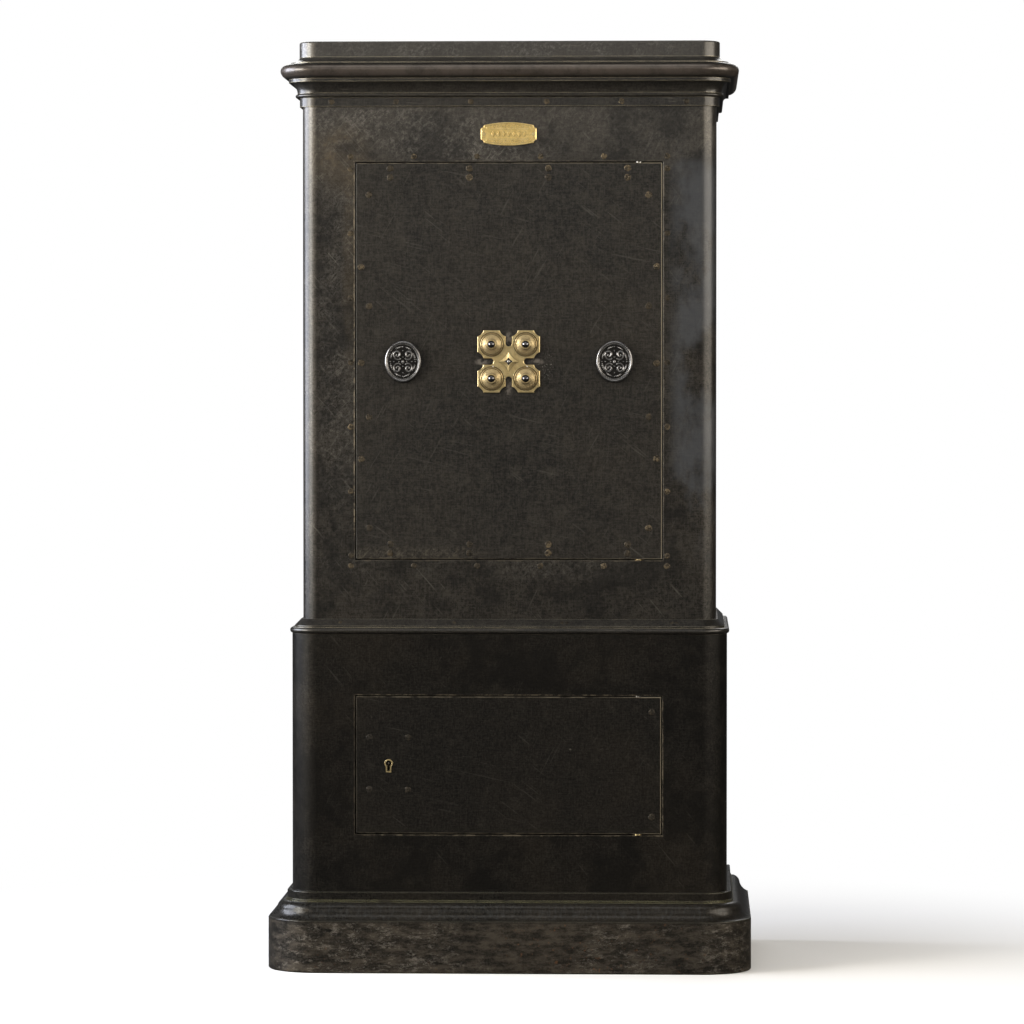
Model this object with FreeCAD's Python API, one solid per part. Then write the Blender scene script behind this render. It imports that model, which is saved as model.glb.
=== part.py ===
import FreeCAD, Part
import math
import os

os.makedirs("parts", exist_ok=True)

V = FreeCAD.Vector

# A two-part safe in millimetres: a locked chest standing on a cabinet with a plinth.
# Origin: middle of the floor footprint.  +Z is up, +X is to the right, the front faces -Y.

# ------------------------------------------------------------------ driving dimensions
BACK = 260.0                 # flat back, stands against a wall
PLINTH_HALF = 418.0          # half widths of the plinth, the cabinet and the chest
BASE_HALF = 376.0
CHEST_HALF = 357.0
CHEST_RADIUS = 28.0          # rounded vertical front corner of the chest
SKIN = 8.0                   # casing plate
FRONT_OFFSET = BACK - 105.0  # front face y = FRONT_OFFSET - half width, at every level
CORNER_X = CHEST_HALF - CHEST_RADIUS
CORNER_Y = FRONT_OFFSET - CORNER_X

FLOOR_PLATE = 10.0           # levels
BASE_TOP = 581.0
CHEST_BOTTOM = 590.0
FRIEZE_LOW = 1488.0
FRIEZE_HIGH = 1504.0
CHEST_TOP = 1573.0
HEIGHT = 1600.0

DOOR_GAP = 2.0               # both doors
HINGE_INSET = 40.0           # pivot axis to the hinge edge of the door
HINGE_POCKET_X = 180.0       # where the frame lips end beside the hinge
FRAME_BAR = 15.0
SEAT_GAP = 0.5

MAIN_HALF = 263.5            # main door
MAIN_LOW = 709.5
MAIN_HIGH = 1391.0
MAIN_PLATE = 18.0
MAIN_FRONT = FRONT_OFFSET - CHEST_HALF
MAIN_REAR = MAIN_FRONT + MAIN_PLATE
MAIN_PIVOT = (MAIN_HALF - HINGE_INSET, MAIN_FRONT + 10.0)
MAIN_PIN = 5.5

LOW_HALF = 262.5             # cabinet door
LOW_LOW = 237.0
LOW_HIGH = 473.0
LOW_PLATE = 14.0
LOW_FRONT = FRONT_OFFSET - BASE_HALF
LOW_REAR = LOW_FRONT + LOW_PLATE
LOW_PIVOT = (LOW_HALF - HINGE_INSET, LOW_FRONT + 7.0)
LOW_PIN = 4.5

BOX_LEFT = -240.0            # fireproof box on the back of the main door
BOX_RIGHT = 243.5
BOX_LOW = 726.5
BOX_HIGH = 1374.0
BOX_WALL = 4.0
BOX_REAR = -104.0
COVER_REAR = -100.0
FRAME_REAR = -98.0

ROOM_HALF = 250.0            # strong room
ROOM_LOW = 724.5
ROOM_HIGH = 1376.0
ROOM_BACK = 170.0
LINER = 3.0

LOCK_Z = 1049.5              # height of the dials and of both keyholes
DIAL_STEP = 29.4             # dial centres left, right, above and below the middle
DIAL_RADIUS = 19.4
ARBOR_RADIUS = 4.0
COMBI_HALF = 53.75
COMBI_PLATE = 4.0
KEY_X = 182.0                # keyhole at -KEY_X, crank socket at +KEY_X
RUNNING = 0.05               # radial clearance of running fits
REST_GAP = 0.3               # clearance between faces of separate bodies

THROW = 24.0                 # travel of the door bolts
BOLT_RADIUS = 12.0
BOLT_Y = -162.0
BOLT_ZS = [LOCK_Z - 220.0, LOCK_Z, LOCK_Z + 220.0]
BAR_LEFT = -211.0            # vertical bar of the bolt work
BAR_RIGHT = -199.0
LINK_LOW = 970.0             # horizontal link of the bolt work
LINK_HIGH = 990.0
GEAR_MODULE = 2.0
GEAR_TEETH = 16
GEAR_PITCH = GEAR_MODULE * GEAR_TEETH / 2.0
KEY_BOLT_TRAVEL = 8.0
RIVET_RADIUS = 5.5
RIVET_DEPTH = 6.0
RIVET_PROUD = 0.25

LOW_KEY_X = -206.4           # keyhole of the cabinet door
LOW_KEY_Z = 357.8


# ------------------------------------------------------------------ helpers
def box(x0, x1, y0, y1, z0, z1):
    return Part.makeBox(x1 - x0, y1 - y0, z1 - z0, V(x0, y0, z0))


def rod_x(y, z, radius, x0, x1):
    return Part.makeCylinder(radius, x1 - x0, V(x0, y, z), V(1, 0, 0))


def rod_y(x, z, radius, y0, y1):
    return Part.makeCylinder(radius, y1 - y0, V(x, y0, z), V(0, 1, 0))


def rod_z(x, y, radius, z0, z1):
    return Part.makeCylinder(radius, z1 - z0, V(x, y, z0), V(0, 0, 1))


def write(name, shapes):
    """Write one node: a single solid, or a group of separate ones."""
    shapes = shapes if isinstance(shapes, list) else [shapes]
    solids = [solid for shape in shapes for solid in shape.Solids]
    for solid in solids:
        if not solid.isValid() or solid.Volume < 1.0:
            raise ValueError("bad solid in " + name)
    shape = solids[0] if len(solids) == 1 else Part.makeCompound(solids)
    shape.exportStep(os.path.join("parts", name + ".step"))


def slab(half, z0, z1, back=BACK):
    """Plate with the plan outline of the safe: rounded front corners, square back."""
    radius = half - CORNER_X
    front = CORNER_Y - radius
    diagonal = radius / math.sqrt(2.0)
    left_back = V(-half, back, z0)
    left_side = V(-half, CORNER_Y, z0)
    left_front = V(-CORNER_X, front, z0)
    right_front = V(CORNER_X, front, z0)
    right_side = V(half, CORNER_Y, z0)
    right_back = V(half, back, z0)
    left_middle = V(-CORNER_X - diagonal, CORNER_Y - diagonal, z0)
    right_middle = V(CORNER_X + diagonal, CORNER_Y - diagonal, z0)
    edges = [
        Part.makeLine(left_back, left_side),
        Part.Arc(left_side, left_middle, left_front).toShape(),
        Part.makeLine(left_front, right_front),
        Part.Arc(right_front, right_middle, right_side).toShape(),
        Part.makeLine(right_side, right_back),
        Part.makeLine(right_back, left_back),
    ]
    return Part.Face(Part.Wire(edges)).extrude(V(0, 0, z1 - z0))


def outline(start, steps, place):
    """Closed face through steps of (x, y) for a line or (x mid, y mid, x, y) for an arc."""
    edges = []
    here = start
    for step in steps:
        end = step[-2:]
        if len(step) == 2:
            edges.append(Part.makeLine(place(*here), place(*end)))
        else:
            edges.append(Part.Arc(place(*here), place(*step[:2]), place(*end)).toShape())
        here = end
    if tuple(here) != tuple(start):
        edges.append(Part.makeLine(place(*here), place(*start)))
    return Part.Face(Part.Wire(edges))


def moulding(start, steps):
    """Run a profile of (half width, height) round the front and both sides."""
    section = outline(start, steps, lambda half, z: V(half, CORNER_Y, z))
    axis_point = V(CORNER_X, CORNER_Y, 0)
    side = section.extrude(V(0, BACK - CORNER_Y, 0))
    corner = section.revolve(axis_point, V(0, 0, 1), -90)
    turned_section = section.copy()
    turned_section.rotate(axis_point, V(0, 0, 1), -90)
    front = turned_section.extrude(V(-CORNER_X, 0, 0))
    right = side.fuse([corner, front])
    left = right.mirror(V(0, 0, 0), V(1, 0, 0))
    return right.fuse(left).removeSplitter()


def turned(x, z, seat_y, start, steps):
    """Turned piece about an axis along Y; profile of (radius, height in front of the seat)."""
    section = outline(start, steps, lambda radius, rise: V(x + radius, seat_y - rise, z))
    return section.revolve(V(x, 0, z), V(0, 1, 0), 360)


def dome(radius, low, high):
    """Step of a turned profile: a spherical cap that rises from its rim to the axis."""
    rise = high - low
    sphere = (radius * radius + rise * rise) / (2.0 * abs(rise))
    direction = 1.0 if rise > 0 else -1.0
    half_angle = math.asin(radius / sphere) / 2.0
    centre = high - direction * sphere
    return (sphere * math.sin(half_angle), centre + direction * sphere * math.cos(half_angle), 0.0, high)


def bevel_front(shape, y, size):
    """Bevel the edges that lie in the front plane at y."""
    edges = []
    for edge in shape.Edges:
        limits = edge.BoundBox
        if abs(limits.YMin - y) < 1e-4 and abs(limits.YMax - y) < 1e-4:
            edges.append(edge)
    return shape.makeChamfer(size, edges)


def rivet(x, z, front, radius=RIVET_RADIUS):
    """Flush rivet, a hair proud, and the pocket it fills."""
    head = rod_y(x, z, radius, front - RIVET_PROUD, front + RIVET_DEPTH)
    pocket = rod_y(x, z, radius + RUNNING, front - 1.0, front + RIVET_DEPTH)
    return head, pocket


def rivets(places, front, radius=RIVET_RADIUS):
    pairs = [rivet(x, z, front, radius) for x, z in places]
    return [pair[0] for pair in pairs], [pair[1] for pair in pairs]


# ------------------------------------------------------------------ pieces shared by both doors
def pivot_pins(pivot, radius, low, high):
    """Lower and upper pin, fixed in the frame and standing in the door's edges."""
    x, y = pivot
    lower = rod_z(x, y, radius, low - DOOR_GAP - 12.0, low + 17.0)
    upper = rod_z(x, y, radius, high - 17.0, high + DOOR_GAP + 12.0)
    return [lower, upper]


def pivot_bores(pivot, radius, low, high):
    x, y = pivot
    bore = radius + RUNNING
    return [rod_z(x, y, bore, low - 1.0, low + 18.0), rod_z(x, y, bore, high - 18.0, high + 1.0)]


def thrust_washer(pivot, radius, low):
    x, y = pivot
    ring = rod_z(x, y, radius + 3.0, low - DOOR_GAP, low - REST_GAP)
    return ring.cut(rod_z(x, y, radius + RUNNING, low - DOOR_GAP - 1.0, low))


def door_frame(half, low, high, y_skin, y_seat, y_rear, lips, y_pocket):
    """Rebated frame behind the casing: lips stop the door on three sides, and beside the
    hinge the lips give way so that the door's hinge edge can swing inwards."""
    left_lip, end_lip, right_lip = lips
    frame = box(-half - FRAME_BAR, half + FRAME_BAR, y_skin, y_rear, low - FRAME_BAR, high + FRAME_BAR)
    leaf_room = box(-half, half, y_skin - 1, y_seat, low, high)
    way = box(-half + left_lip, half - right_lip, y_seat - 1, y_rear + 1, low + end_lip, high - end_lip)
    pocket = box(HINGE_POCKET_X, half, y_seat - 1, y_pocket, low, high)
    return frame.cut([leaf_room, way, pocket])


def keyhole_cut(x, z, y0, y1, slot):
    """Round hole with a slot below it."""
    return rod_y(x, z, 5.0, y0, y1).fuse(box(x - 2.6, x + 2.6, y0, y1, z - slot, z))


def lock_levers(x0, x1, z0, z1, post, y_front):
    """Three thin levers on one post."""
    levers = []
    for index in range(3):
        y0 = y_front + 2.8 * index
        blade = box(x0, x1, y0, y0 + 2.0, z0, z1)
        levers.append(blade.cut(rod_y(post[0], post[1], 3.0 + RUNNING, y0 - 1, y0 + 3)))
    return levers


# ------------------------------------------------------------------ plinth and cabinet
def make_base(pins):
    plinth_steps = [
        (PLINTH_HALF - 2.0, 0.0), (PLINTH_HALF, 2.0), (PLINTH_HALF, 88.0),
        (PLINTH_HALF - 0.73, 89.77, PLINTH_HALF - 2.5, 90.5),
        (408.0, 96.0, 403.0, 105.0),
        (398.6, 114.6, 390.5, 119.0),
        (387.0, 119.0), (387.0, 121.5), (385.0, 122.5), (385.0, 134.5),
        (384.3, 136.4, 382.5, 137.0),
        (BASE_HALF, 137.0),
    ]
    write("plinth_moulding", moulding((BASE_HALF, 0.0), plinth_steps))
    write("bottom_plate", slab(BASE_HALF, 0.0, FLOOR_PLATE))

    casing = slab(BASE_HALF, FLOOR_PLATE, BASE_TOP, BACK - SKIN)
    casing = casing.cut(slab(BASE_HALF - SKIN, 0.0, BASE_TOP + 1, BACK + 1))
    half = LOW_HALF + DOOR_GAP
    low = LOW_LOW - DOOR_GAP
    high = LOW_HIGH + DOOR_GAP
    casing = casing.cut(box(-half, half, LOW_FRONT - 1, LOW_FRONT + 60, low, high))
    casing = casing.cut(pins)
    write("base_casing", casing)
    write("base_back", box(-BASE_HALF, BASE_HALF, BACK - SKIN, BACK, FLOOR_PLATE, BASE_TOP))
    write("base_top_plate", slab(370.0, BASE_TOP, CHEST_BOTTOM))
    write("base_floor", slab(BASE_HALF - SKIN, 213.0, 219.0, BACK - SKIN))

    y_skin = LOW_FRONT + SKIN
    y_rear = -180.0
    frame = door_frame(half, low, high, y_skin, LOW_REAR + SEAT_GAP, y_rear, (15.0, 12.0, 0.0), y_rear + 1)
    strike = box(-half - FRAME_BAR - 1, -half + 16.0, -204.5, -193.5, LOW_KEY_Z + 15.5, LOW_KEY_Z + 32.5)
    write("base_door_frame", frame.cut([strike] + pins))


def make_ledge():
    steps = [
        (375.5, BASE_TOP),
        (380.0, 586.0, 375.5, 591.0),
        (371.5, 591.0), (371.5, 594.5), (360.0, 606.0), (CHEST_HALF, 606.0),
        (CHEST_HALF, CHEST_BOTTOM), (370.0, CHEST_BOTTOM),
    ]
    ledge = moulding((370.0, BASE_TOP), steps)
    # countersunk heads let into the sloping face, in pairs and singles along the front
    slope = V(0, -1, 1).normalize()
    heads = []
    seats = []
    for x in (-290.0, -94.0, 92.0, 100.0, 281.0, 289.0):
        seat = V(x, FRONT_OFFSET - 365.75, 600.25)
        heads.append(Part.makeCylinder(3.0, 3.0, seat - slope * 2.6, slope))
        seats.append(Part.makeCylinder(3.0 + RUNNING, 4.0, seat - slope * 2.6, slope))
    write("ledge_moulding", ledge.cut(seats))
    write("ledge_screws", heads)


# ------------------------------------------------------------------ chest
def make_chest(pins):
    columns = [(side * 272.5, 1381.0 - 111.0 * row) for side in (-1, 1) for row in range(7)]
    rows = [(-272.5 + 109.0 * column, z) for z in (1402.0, 697.5) for column in range(6)]
    front_heads, front_pockets = rivets(columns + rows, MAIN_FRONT)
    frieze_front = FRONT_OFFSET - 362.0
    frieze_places = [(side * x, 1496.0) for side in (-1, 1) for x in (65.0, 194.0, 305.0)]
    frieze_heads = []
    frieze_pockets = []
    for x, z in frieze_places:
        frieze_heads.append(rod_y(x, z, 5.0, frieze_front - RIVET_PROUD, frieze_front + 4.0))
        frieze_pockets.append(rod_y(x, z, 5.0 + RUNNING, frieze_front - 1, frieze_front + 4.0))

    casing = slab(CHEST_HALF, CHEST_BOTTOM, CHEST_TOP, BACK - SKIN)
    casing = casing.cut(slab(CHEST_HALF - SKIN, CHEST_BOTTOM - 1, CHEST_TOP + 1, BACK + 1))
    half = MAIN_HALF + DOOR_GAP
    low = MAIN_LOW - DOOR_GAP
    high = MAIN_HIGH + DOOR_GAP
    casing = casing.cut(box(-half, half, MAIN_FRONT - 1, MAIN_FRONT + 60, low, high))
    write("chest_casing", casing.cut(front_pockets + pins))
    write("casing_rivets", front_heads + frieze_heads)
    write("chest_back", box(-CHEST_HALF, CHEST_HALF, BACK - SKIN, BACK, CHEST_BOTTOM, CHEST_TOP))

    frame = door_frame(half, low, high, MAIN_FRONT + SKIN, MAIN_REAR + SEAT_GAP, FRAME_REAR,
                       (15.0, 17.0, 10.5), MAIN_PIVOT[1] + 44.0)
    sockets = [rod_x(BOLT_Y, z, BOLT_RADIUS + 0.5, -half - FRAME_BAR - 1, -half + 16) for z in BOLT_ZS]
    write("chest_door_frame", frame.cut(sockets + pins))

    envelope = box(-ROOM_HALF - LINER, ROOM_HALF + LINER, FRAME_REAR, ROOM_BACK + LINER,
                   ROOM_LOW - LINER, ROOM_HIGH + LINER)
    room = box(-ROOM_HALF, ROOM_HALF, FRAME_REAR - 1, ROOM_BACK, ROOM_LOW, ROOM_HIGH)
    write("inner_box", envelope.cut(room))

    fill = slab(CHEST_HALF - SKIN, CHEST_BOTTOM, CHEST_TOP, BACK - SKIN)
    frame_room = box(-half - FRAME_BAR, half + FRAME_BAR, MAIN_FRONT, FRAME_REAR,
                     low - FRAME_BAR, high + FRAME_BAR)
    write("fireproof_fill", fill.cut([frame_room, envelope] + pins))

    brackets = []
    for name, level in (("lower_shelf", 935.0), ("upper_shelf", 1155.0)):
        write(name, box(-ROOM_HALF + 1, ROOM_HALF - 1, -88.0, ROOM_BACK - 1, level, level + 4.0))
        for x0 in (-ROOM_HALF, ROOM_HALF - 12.0):
            for y0 in (-70.0, 120.0):
                brackets.append(box(x0, x0 + 12.0, y0, y0 + 24.0, level - 8.0, level))
    write("shelf_brackets", brackets)

    frieze_steps = [(362.0, FRIEZE_LOW), (362.0, FRIEZE_HIGH), (CHEST_HALF, FRIEZE_HIGH)]
    frieze = moulding((CHEST_HALF, FRIEZE_LOW), frieze_steps)
    write("frieze_band", frieze.cut(frieze_pockets))
    cornice_steps = [
        (366.0, FRIEZE_HIGH),
        (369.5, 1507.2, 366.0, 1510.5),
        (366.0, 1511.5),
        (368.8, 1522.0, 375.5, 1530.0),
        (381.0, 1530.0), (381.0, 1536.0),
        (391.2, 1541.0, 395.5, 1549.5),
        (392.8, 1557.0, 385.5, 1561.5),
        (377.5, 1562.0), (377.5, 1564.5),
        (368.5, 1567.0, 362.5, CHEST_TOP),
        (CHEST_HALF, CHEST_TOP),
    ]
    write("cornice_moulding", moulding((CHEST_HALF, FRIEZE_HIGH), cornice_steps))

    cap = slab(362.5, CHEST_TOP, HEIGHT)
    rim = [edge for edge in cap.Edges if edge.BoundBox.ZMin > HEIGHT - 0.01]
    cap = cap.makeFillet(3.0, rim)
    write("top_cap", cap.cut(slab(362.5 - SKIN, CHEST_TOP - 1, HEIGHT - SKIN, BACK - SKIN)))


def make_name_plate():
    """Blank brass plate: bowed long edges and notched corners, with plain raised lines."""
    half_long = 48.0
    half_flat = 15.0
    bow = 5.0
    notch = 5.0
    z = 1440.5
    y0 = MAIN_FRONT - 2.5
    shape = outline(
        (-half_long, z - half_flat + notch),
        [(-half_long, z + half_flat - notch),
         (-half_long + notch * 0.7, z + half_flat - notch * 0.7, -half_long + notch, z + half_flat),
         (0.0, z + half_flat + bow, half_long - notch, z + half_flat),
         (half_long - notch * 0.7, z + half_flat - notch * 0.7, half_long, z + half_flat - notch),
         (half_long, z - half_flat + notch),
         (half_long - notch * 0.7, z - half_flat + notch * 0.7, half_long - notch, z - half_flat),
         (0.0, z - half_flat - bow, -half_long + notch, z - half_flat),
         (-half_long + notch * 0.7, z - half_flat + notch * 0.7, -half_long, z - half_flat + notch)],
        lambda x, height: V(x, MAIN_FRONT, height))
    plate = shape.extrude(V(0, -2.5, 0))
    screws = []
    holes = []
    for side in (-1, 1):
        screws.append(rod_y(side * 42.5, z, 2.4, y0 - 0.8, MAIN_FRONT))
        holes.append(rod_y(side * 42.5, z, 2.4 + RUNNING, y0 - 1, MAIN_FRONT + 1))
    lines = [box(-34.0, 34.0, y0 - 0.5, y0 + 0.5, z + rise - 0.6, z + rise + 0.6) for rise in (-9.0, 9.0)]
    write("name_plate", plate.cut(holes).fuse(lines))
    write("name_plate_screws", screws)


# ------------------------------------------------------------------ main door
def make_main_door():
    plate = box(-MAIN_HALF, MAIN_HALF, MAIN_FRONT, MAIN_REAR, MAIN_LOW, MAIN_HIGH)
    plate = bevel_front(plate, MAIN_FRONT, 0.8)
    places = [(side * 240.7, z) for side in (-1, 1) for z in (1336.0, 1145.0, 954.0, 763.0)]
    places += [(side * 254.5, z) for side in (-1, 1) for z in (1212.0, 1047.0, 882.0)]
    places += [(side * x, z) for side in (-1, 1) for x in (68.0, 204.5) for z in (1366.0, 734.5)]
    places += [(side * x, z) for side in (-1, 1) for x in (68.0, 204.5) for z in (1381.5, 719.5)]
    heads, pockets = rivets(places, MAIN_FRONT, 4.8)
    through = [rod_y(x, z, ARBOR_RADIUS + RUNNING, MAIN_FRONT - 1, MAIN_REAR + 1) for x, z in dial_places()]
    bushes = [rod_y(x, LOCK_Z, 14.0 + RUNNING, MAIN_FRONT - 1, MAIN_REAR + 1) for x in (-KEY_X, KEY_X)]
    studs = [rod_y(x, LOCK_Z + 27.0, 2.5, MAIN_FRONT - 8.0, MAIN_FRONT + 10.0) for x in (-KEY_X, KEY_X)]
    cuts = pockets + through + bushes + studs + pivot_bores(MAIN_PIVOT, MAIN_PIN, MAIN_LOW, MAIN_HIGH)
    write("door_plate", plate.cut(cuts))
    write("door_rivets", heads)
    write("cover_studs", studs)

    outer = box(BOX_LEFT, BOX_RIGHT, MAIN_REAR, BOX_REAR, BOX_LOW, BOX_HIGH)
    inner_left = BOX_LEFT + BOX_WALL
    inner_right = BOX_RIGHT - BOX_WALL
    inner_low = BOX_LOW + BOX_WALL
    inner_high = BOX_HIGH - BOX_WALL
    inner = box(inner_left, inner_right, MAIN_REAR - 1, BOX_REAR + 1, inner_low, inner_high)
    holes = [rod_x(BOLT_Y, z, BOLT_RADIUS + RUNNING, BOX_LEFT - 1, inner_left + 1) for z in BOLT_ZS]
    write("door_box", outer.cut([inner] + holes))
    write("door_fill", box(inner_left, inner_right, -138.0, BOX_REAR, inner_low, inner_high))
    cover = box(BOX_LEFT, BOX_RIGHT, BOX_REAR, COVER_REAR, BOX_LOW, BOX_HIGH)
    screw_places = [(x, z) for x in (-222.0, 2.0, 226.0) for z in (745.0, 950.0, 1150.0, 1355.0)]
    screw_places = [place for place in screw_places if not (place[0] == 2.0 and 800 < place[1] < 1300)]
    screws = []
    seats = []
    for x, z in screw_places:
        screw_steps = [(4.0, 3.0), (4.0, 0.0), (5.5, 0.0), dome(5.5, 0.0, -1.8)]
        screws.append(turned(x, z, COVER_REAR, (0.0, 3.0), screw_steps))
        seats.append(rod_y(x, z, 4.0 + RUNNING, COVER_REAR - 3.0, COVER_REAR + 1))
    write("door_rear_cover", cover.cut(seats))
    write("rear_cover_screws", screws)

    make_combination()
    make_bolt_work()
    make_key_lock()


def dial_places():
    return [(column * DIAL_STEP, LOCK_Z + row * DIAL_STEP) for row in (1, -1) for column in (-1, 1)]


def make_combination():
    front = MAIN_FRONT - COMBI_PLATE
    plate = box(-COMBI_HALF, COMBI_HALF, front, MAIN_FRONT, LOCK_Z - COMBI_HALF, LOCK_Z + COMBI_HALF)
    slot = 5.45
    slot_end = 31.5
    scoop_radius = 16.0
    scoop_offset = 4.8
    cuts = []
    for sx, sz in ((1, 0), (-1, 0), (0, 1), (0, -1)):
        cx = sx * slot_end
        cz = LOCK_Z + sz * slot_end
        reach_x = (sx * slot_end, sx * (COMBI_HALF + 1)) if sx else (-slot, slot)
        reach_z = (sz * slot_end, sz * (COMBI_HALF + 1)) if sz else (-slot, slot)
        cuts.append(rod_y(cx, cz, slot, front - 1, MAIN_FRONT + 1))
        cuts.append(box(min(reach_x), max(reach_x), front - 1, MAIN_FRONT + 1,
                        LOCK_Z + min(reach_z), LOCK_Z + max(reach_z)))
    inner_corner = slot - scoop_offset
    outer_corner = COMBI_HALF + scoop_offset
    corners = [(outer_corner, outer_corner), (inner_corner, outer_corner), (outer_corner, inner_corner)]
    for cx, cz in corners:
        for sx in (-1, 1):
            for sz in (-1, 1):
                scoop = rod_y(sx * cx, LOCK_Z + sz * cz, scoop_radius, front - 1, MAIN_FRONT + 1)
                cuts.append(limit_to_lobe(scoop, sx, sz, slot, front))
    plate = plate.cut(cuts)
    plate = bevel_front(plate, front, 0.9)
    star = box(-17.0, 17.0, front - 1.4, front, LOCK_Z - 17.0, LOCK_Z + 17.0)
    star = star.cut([rod_y(x, z, 31.9, front - 2, front + 1) for x, z in dial_places()])
    rings = []
    for x, z in dial_places():
        ring = rod_y(x, z, 22.2, front - 0.8, front)
        rings.append(ring.cut(rod_y(x, z, 20.2, front - 1, front + 1)))
    plate = plate.fuse([star] + rings)
    holes = [rod_y(x, z, ARBOR_RADIUS + RUNNING, front - 2, MAIN_FRONT + 1) for x, z in dial_places()]
    holes.append(rod_y(0, LOCK_Z, 3.5 + RUNNING, front - 2, MAIN_FRONT + 1))
    write("combination_plate", plate.cut(holes))
    pin_steps = [(3.5, 0.0), (3.5, 5.6), dome(3.5, 5.6, 7.9)]
    write("combination_pin", turned(0.0, LOCK_Z, MAIN_FRONT, (0.0, 0.0), pin_steps))

    case = box(-54.0, 54.0, MAIN_REAR, -148.0, LOCK_Z - 54.0, LOCK_Z + 54.0)
    case = case.cut(box(-51.0, 51.0, MAIN_REAR - 1, -151.0, LOCK_Z - 51.0, LOCK_Z + 51.0))
    case = case.cut([rod_y(x, z, ARBOR_RADIUS + RUNNING, -152.0, -147.0) for x, z in dial_places()])
    write("combination_case", case)

    seat = front - REST_GAP
    knob_steps = [
        (DIAL_RADIUS, 0.0), (DIAL_RADIUS, 1.5), (18.4, 2.3), (17.4, 2.3), (17.4, 1.5), (16.6, 1.5),
        (16.6, 3.2),
        (12.2, 5.6, 9.4, 9.6),
        (8.7, 9.6), (8.7, 12.0),
        (8.3, 12.8, 7.5, 13.1),
        (6.3, 13.1), (6.3, 10.6), (ARBOR_RADIUS + RUNNING, 10.6),
    ]
    wheel_front = -166.0
    wheel_rear = -156.0
    for index, (x, z) in enumerate(dial_places(), start=1):
        knob = turned(x, z, seat, (ARBOR_RADIUS + RUNNING, 0.0), knob_steps)
        write("dial_knob_%d" % index, knob)
        depth = -148.0 - seat
        arbor_steps = [(ARBOR_RADIUS, -depth), (ARBOR_RADIUS, 10.65), (6.1, 10.65), (6.1, 12.2),
                       dome(6.1, 12.2, 16.6)]
        arbor = turned(x, z, seat, (0.0, -depth), arbor_steps)
        wheel = rod_y(x, z, 20.0, wheel_front, wheel_rear)
        gate = box(x - 3.0, x + 3.0, wheel_front - 1, wheel_rear + 1, z + 14.0, z + 21.0)
        write("dial_arbor_%d" % index, arbor.fuse(wheel).cut(gate))


def limit_to_lobe(scoop, sx, sz, slot, front):
    """Keep only the part of a corner scoop that falls inside its own lobe."""
    x0, x1 = sorted((sx * slot, sx * (COMBI_HALF + 1)))
    z0, z1 = sorted((sz * slot, sz * (COMBI_HALF + 1)))
    return scoop.common(box(x0, x1, front - 1, MAIN_FRONT + 1, LOCK_Z + z0, LOCK_Z + z1))


# ------------------------------------------------------------------ bolt work
def gear_outline(x, z, y):
    """Involute spur gear with one tooth pointing straight down."""
    slack = 0.12
    base = GEAR_PITCH * math.cos(math.radians(20.0))
    tip = GEAR_PITCH + 0.9 * GEAR_MODULE
    root = GEAR_PITCH - 1.25 * GEAR_MODULE

    def involute(radius):
        angle = math.acos(base / radius)
        return math.tan(angle) - angle

    def point(radius, angle):
        return V(x + radius * math.cos(angle), y, z + radius * math.sin(angle))

    half_tooth = math.pi / (2.0 * GEAR_TEETH) - slack / GEAR_PITCH
    radii = [base + (tip - base) * step / 5.0 for step in range(6)]
    spreads = [half_tooth + involute(GEAR_PITCH) - involute(radius) for radius in radii]
    pitch_angle = 2.0 * math.pi / GEAR_TEETH
    edges = []
    for tooth in range(GEAR_TEETH):
        centre = -math.pi / 2.0 + tooth * pitch_angle
        rising = Part.BSplineCurve()
        rising.interpolate([point(r, centre - s) for r, s in zip(radii, spreads)])
        falling = Part.BSplineCurve()
        falling.interpolate([point(r, centre + s) for r, s in zip(radii[::-1], spreads[::-1])])
        start = centre - spreads[0]
        finish = centre + spreads[0]
        following = start + pitch_angle
        edges.append(Part.makeLine(point(root, start), point(base, start)))
        edges.append(rising.toShape())
        edges.append(Part.Arc(point(tip, centre - spreads[-1]), point(tip, centre),
                              point(tip, centre + spreads[-1])).toShape())
        edges.append(falling.toShape())
        edges.append(Part.makeLine(point(base, finish), point(root, finish)))
        edges.append(Part.Arc(point(root, finish), point(root, (finish + following) / 2.0),
                              point(root, following)).toShape())
    return Part.Face(Part.Wire(edges))


def rack_teeth(y0, y1):
    """Straight-sided teeth, with a gap centred under the pinion."""
    pitch = math.pi * GEAR_MODULE
    line = LOCK_Z - GEAR_PITCH
    tip = line + 0.9 * GEAR_MODULE
    root = line - 1.25 * GEAR_MODULE
    slope = math.tan(math.radians(20.0))
    half = pitch / 4.0 - 0.12
    half_tip = half - (tip - line) * slope
    half_root = half + (line - root) * slope
    teeth = []
    for index in range(-3, 7):
        x = KEY_X + (index + 0.5) * pitch
        corners = [V(x - half_root, y0, root - 0.5), V(x - half_root, y0, root), V(x - half_tip, y0, tip),
                   V(x + half_tip, y0, tip), V(x + half_root, y0, root), V(x + half_root, y0, root - 0.5)]
        face = Part.Face(Part.makePolygon(corners + corners[:1]))
        teeth.append(face.extrude(V(0, y1 - y0, 0)))
    return teeth, root


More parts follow.
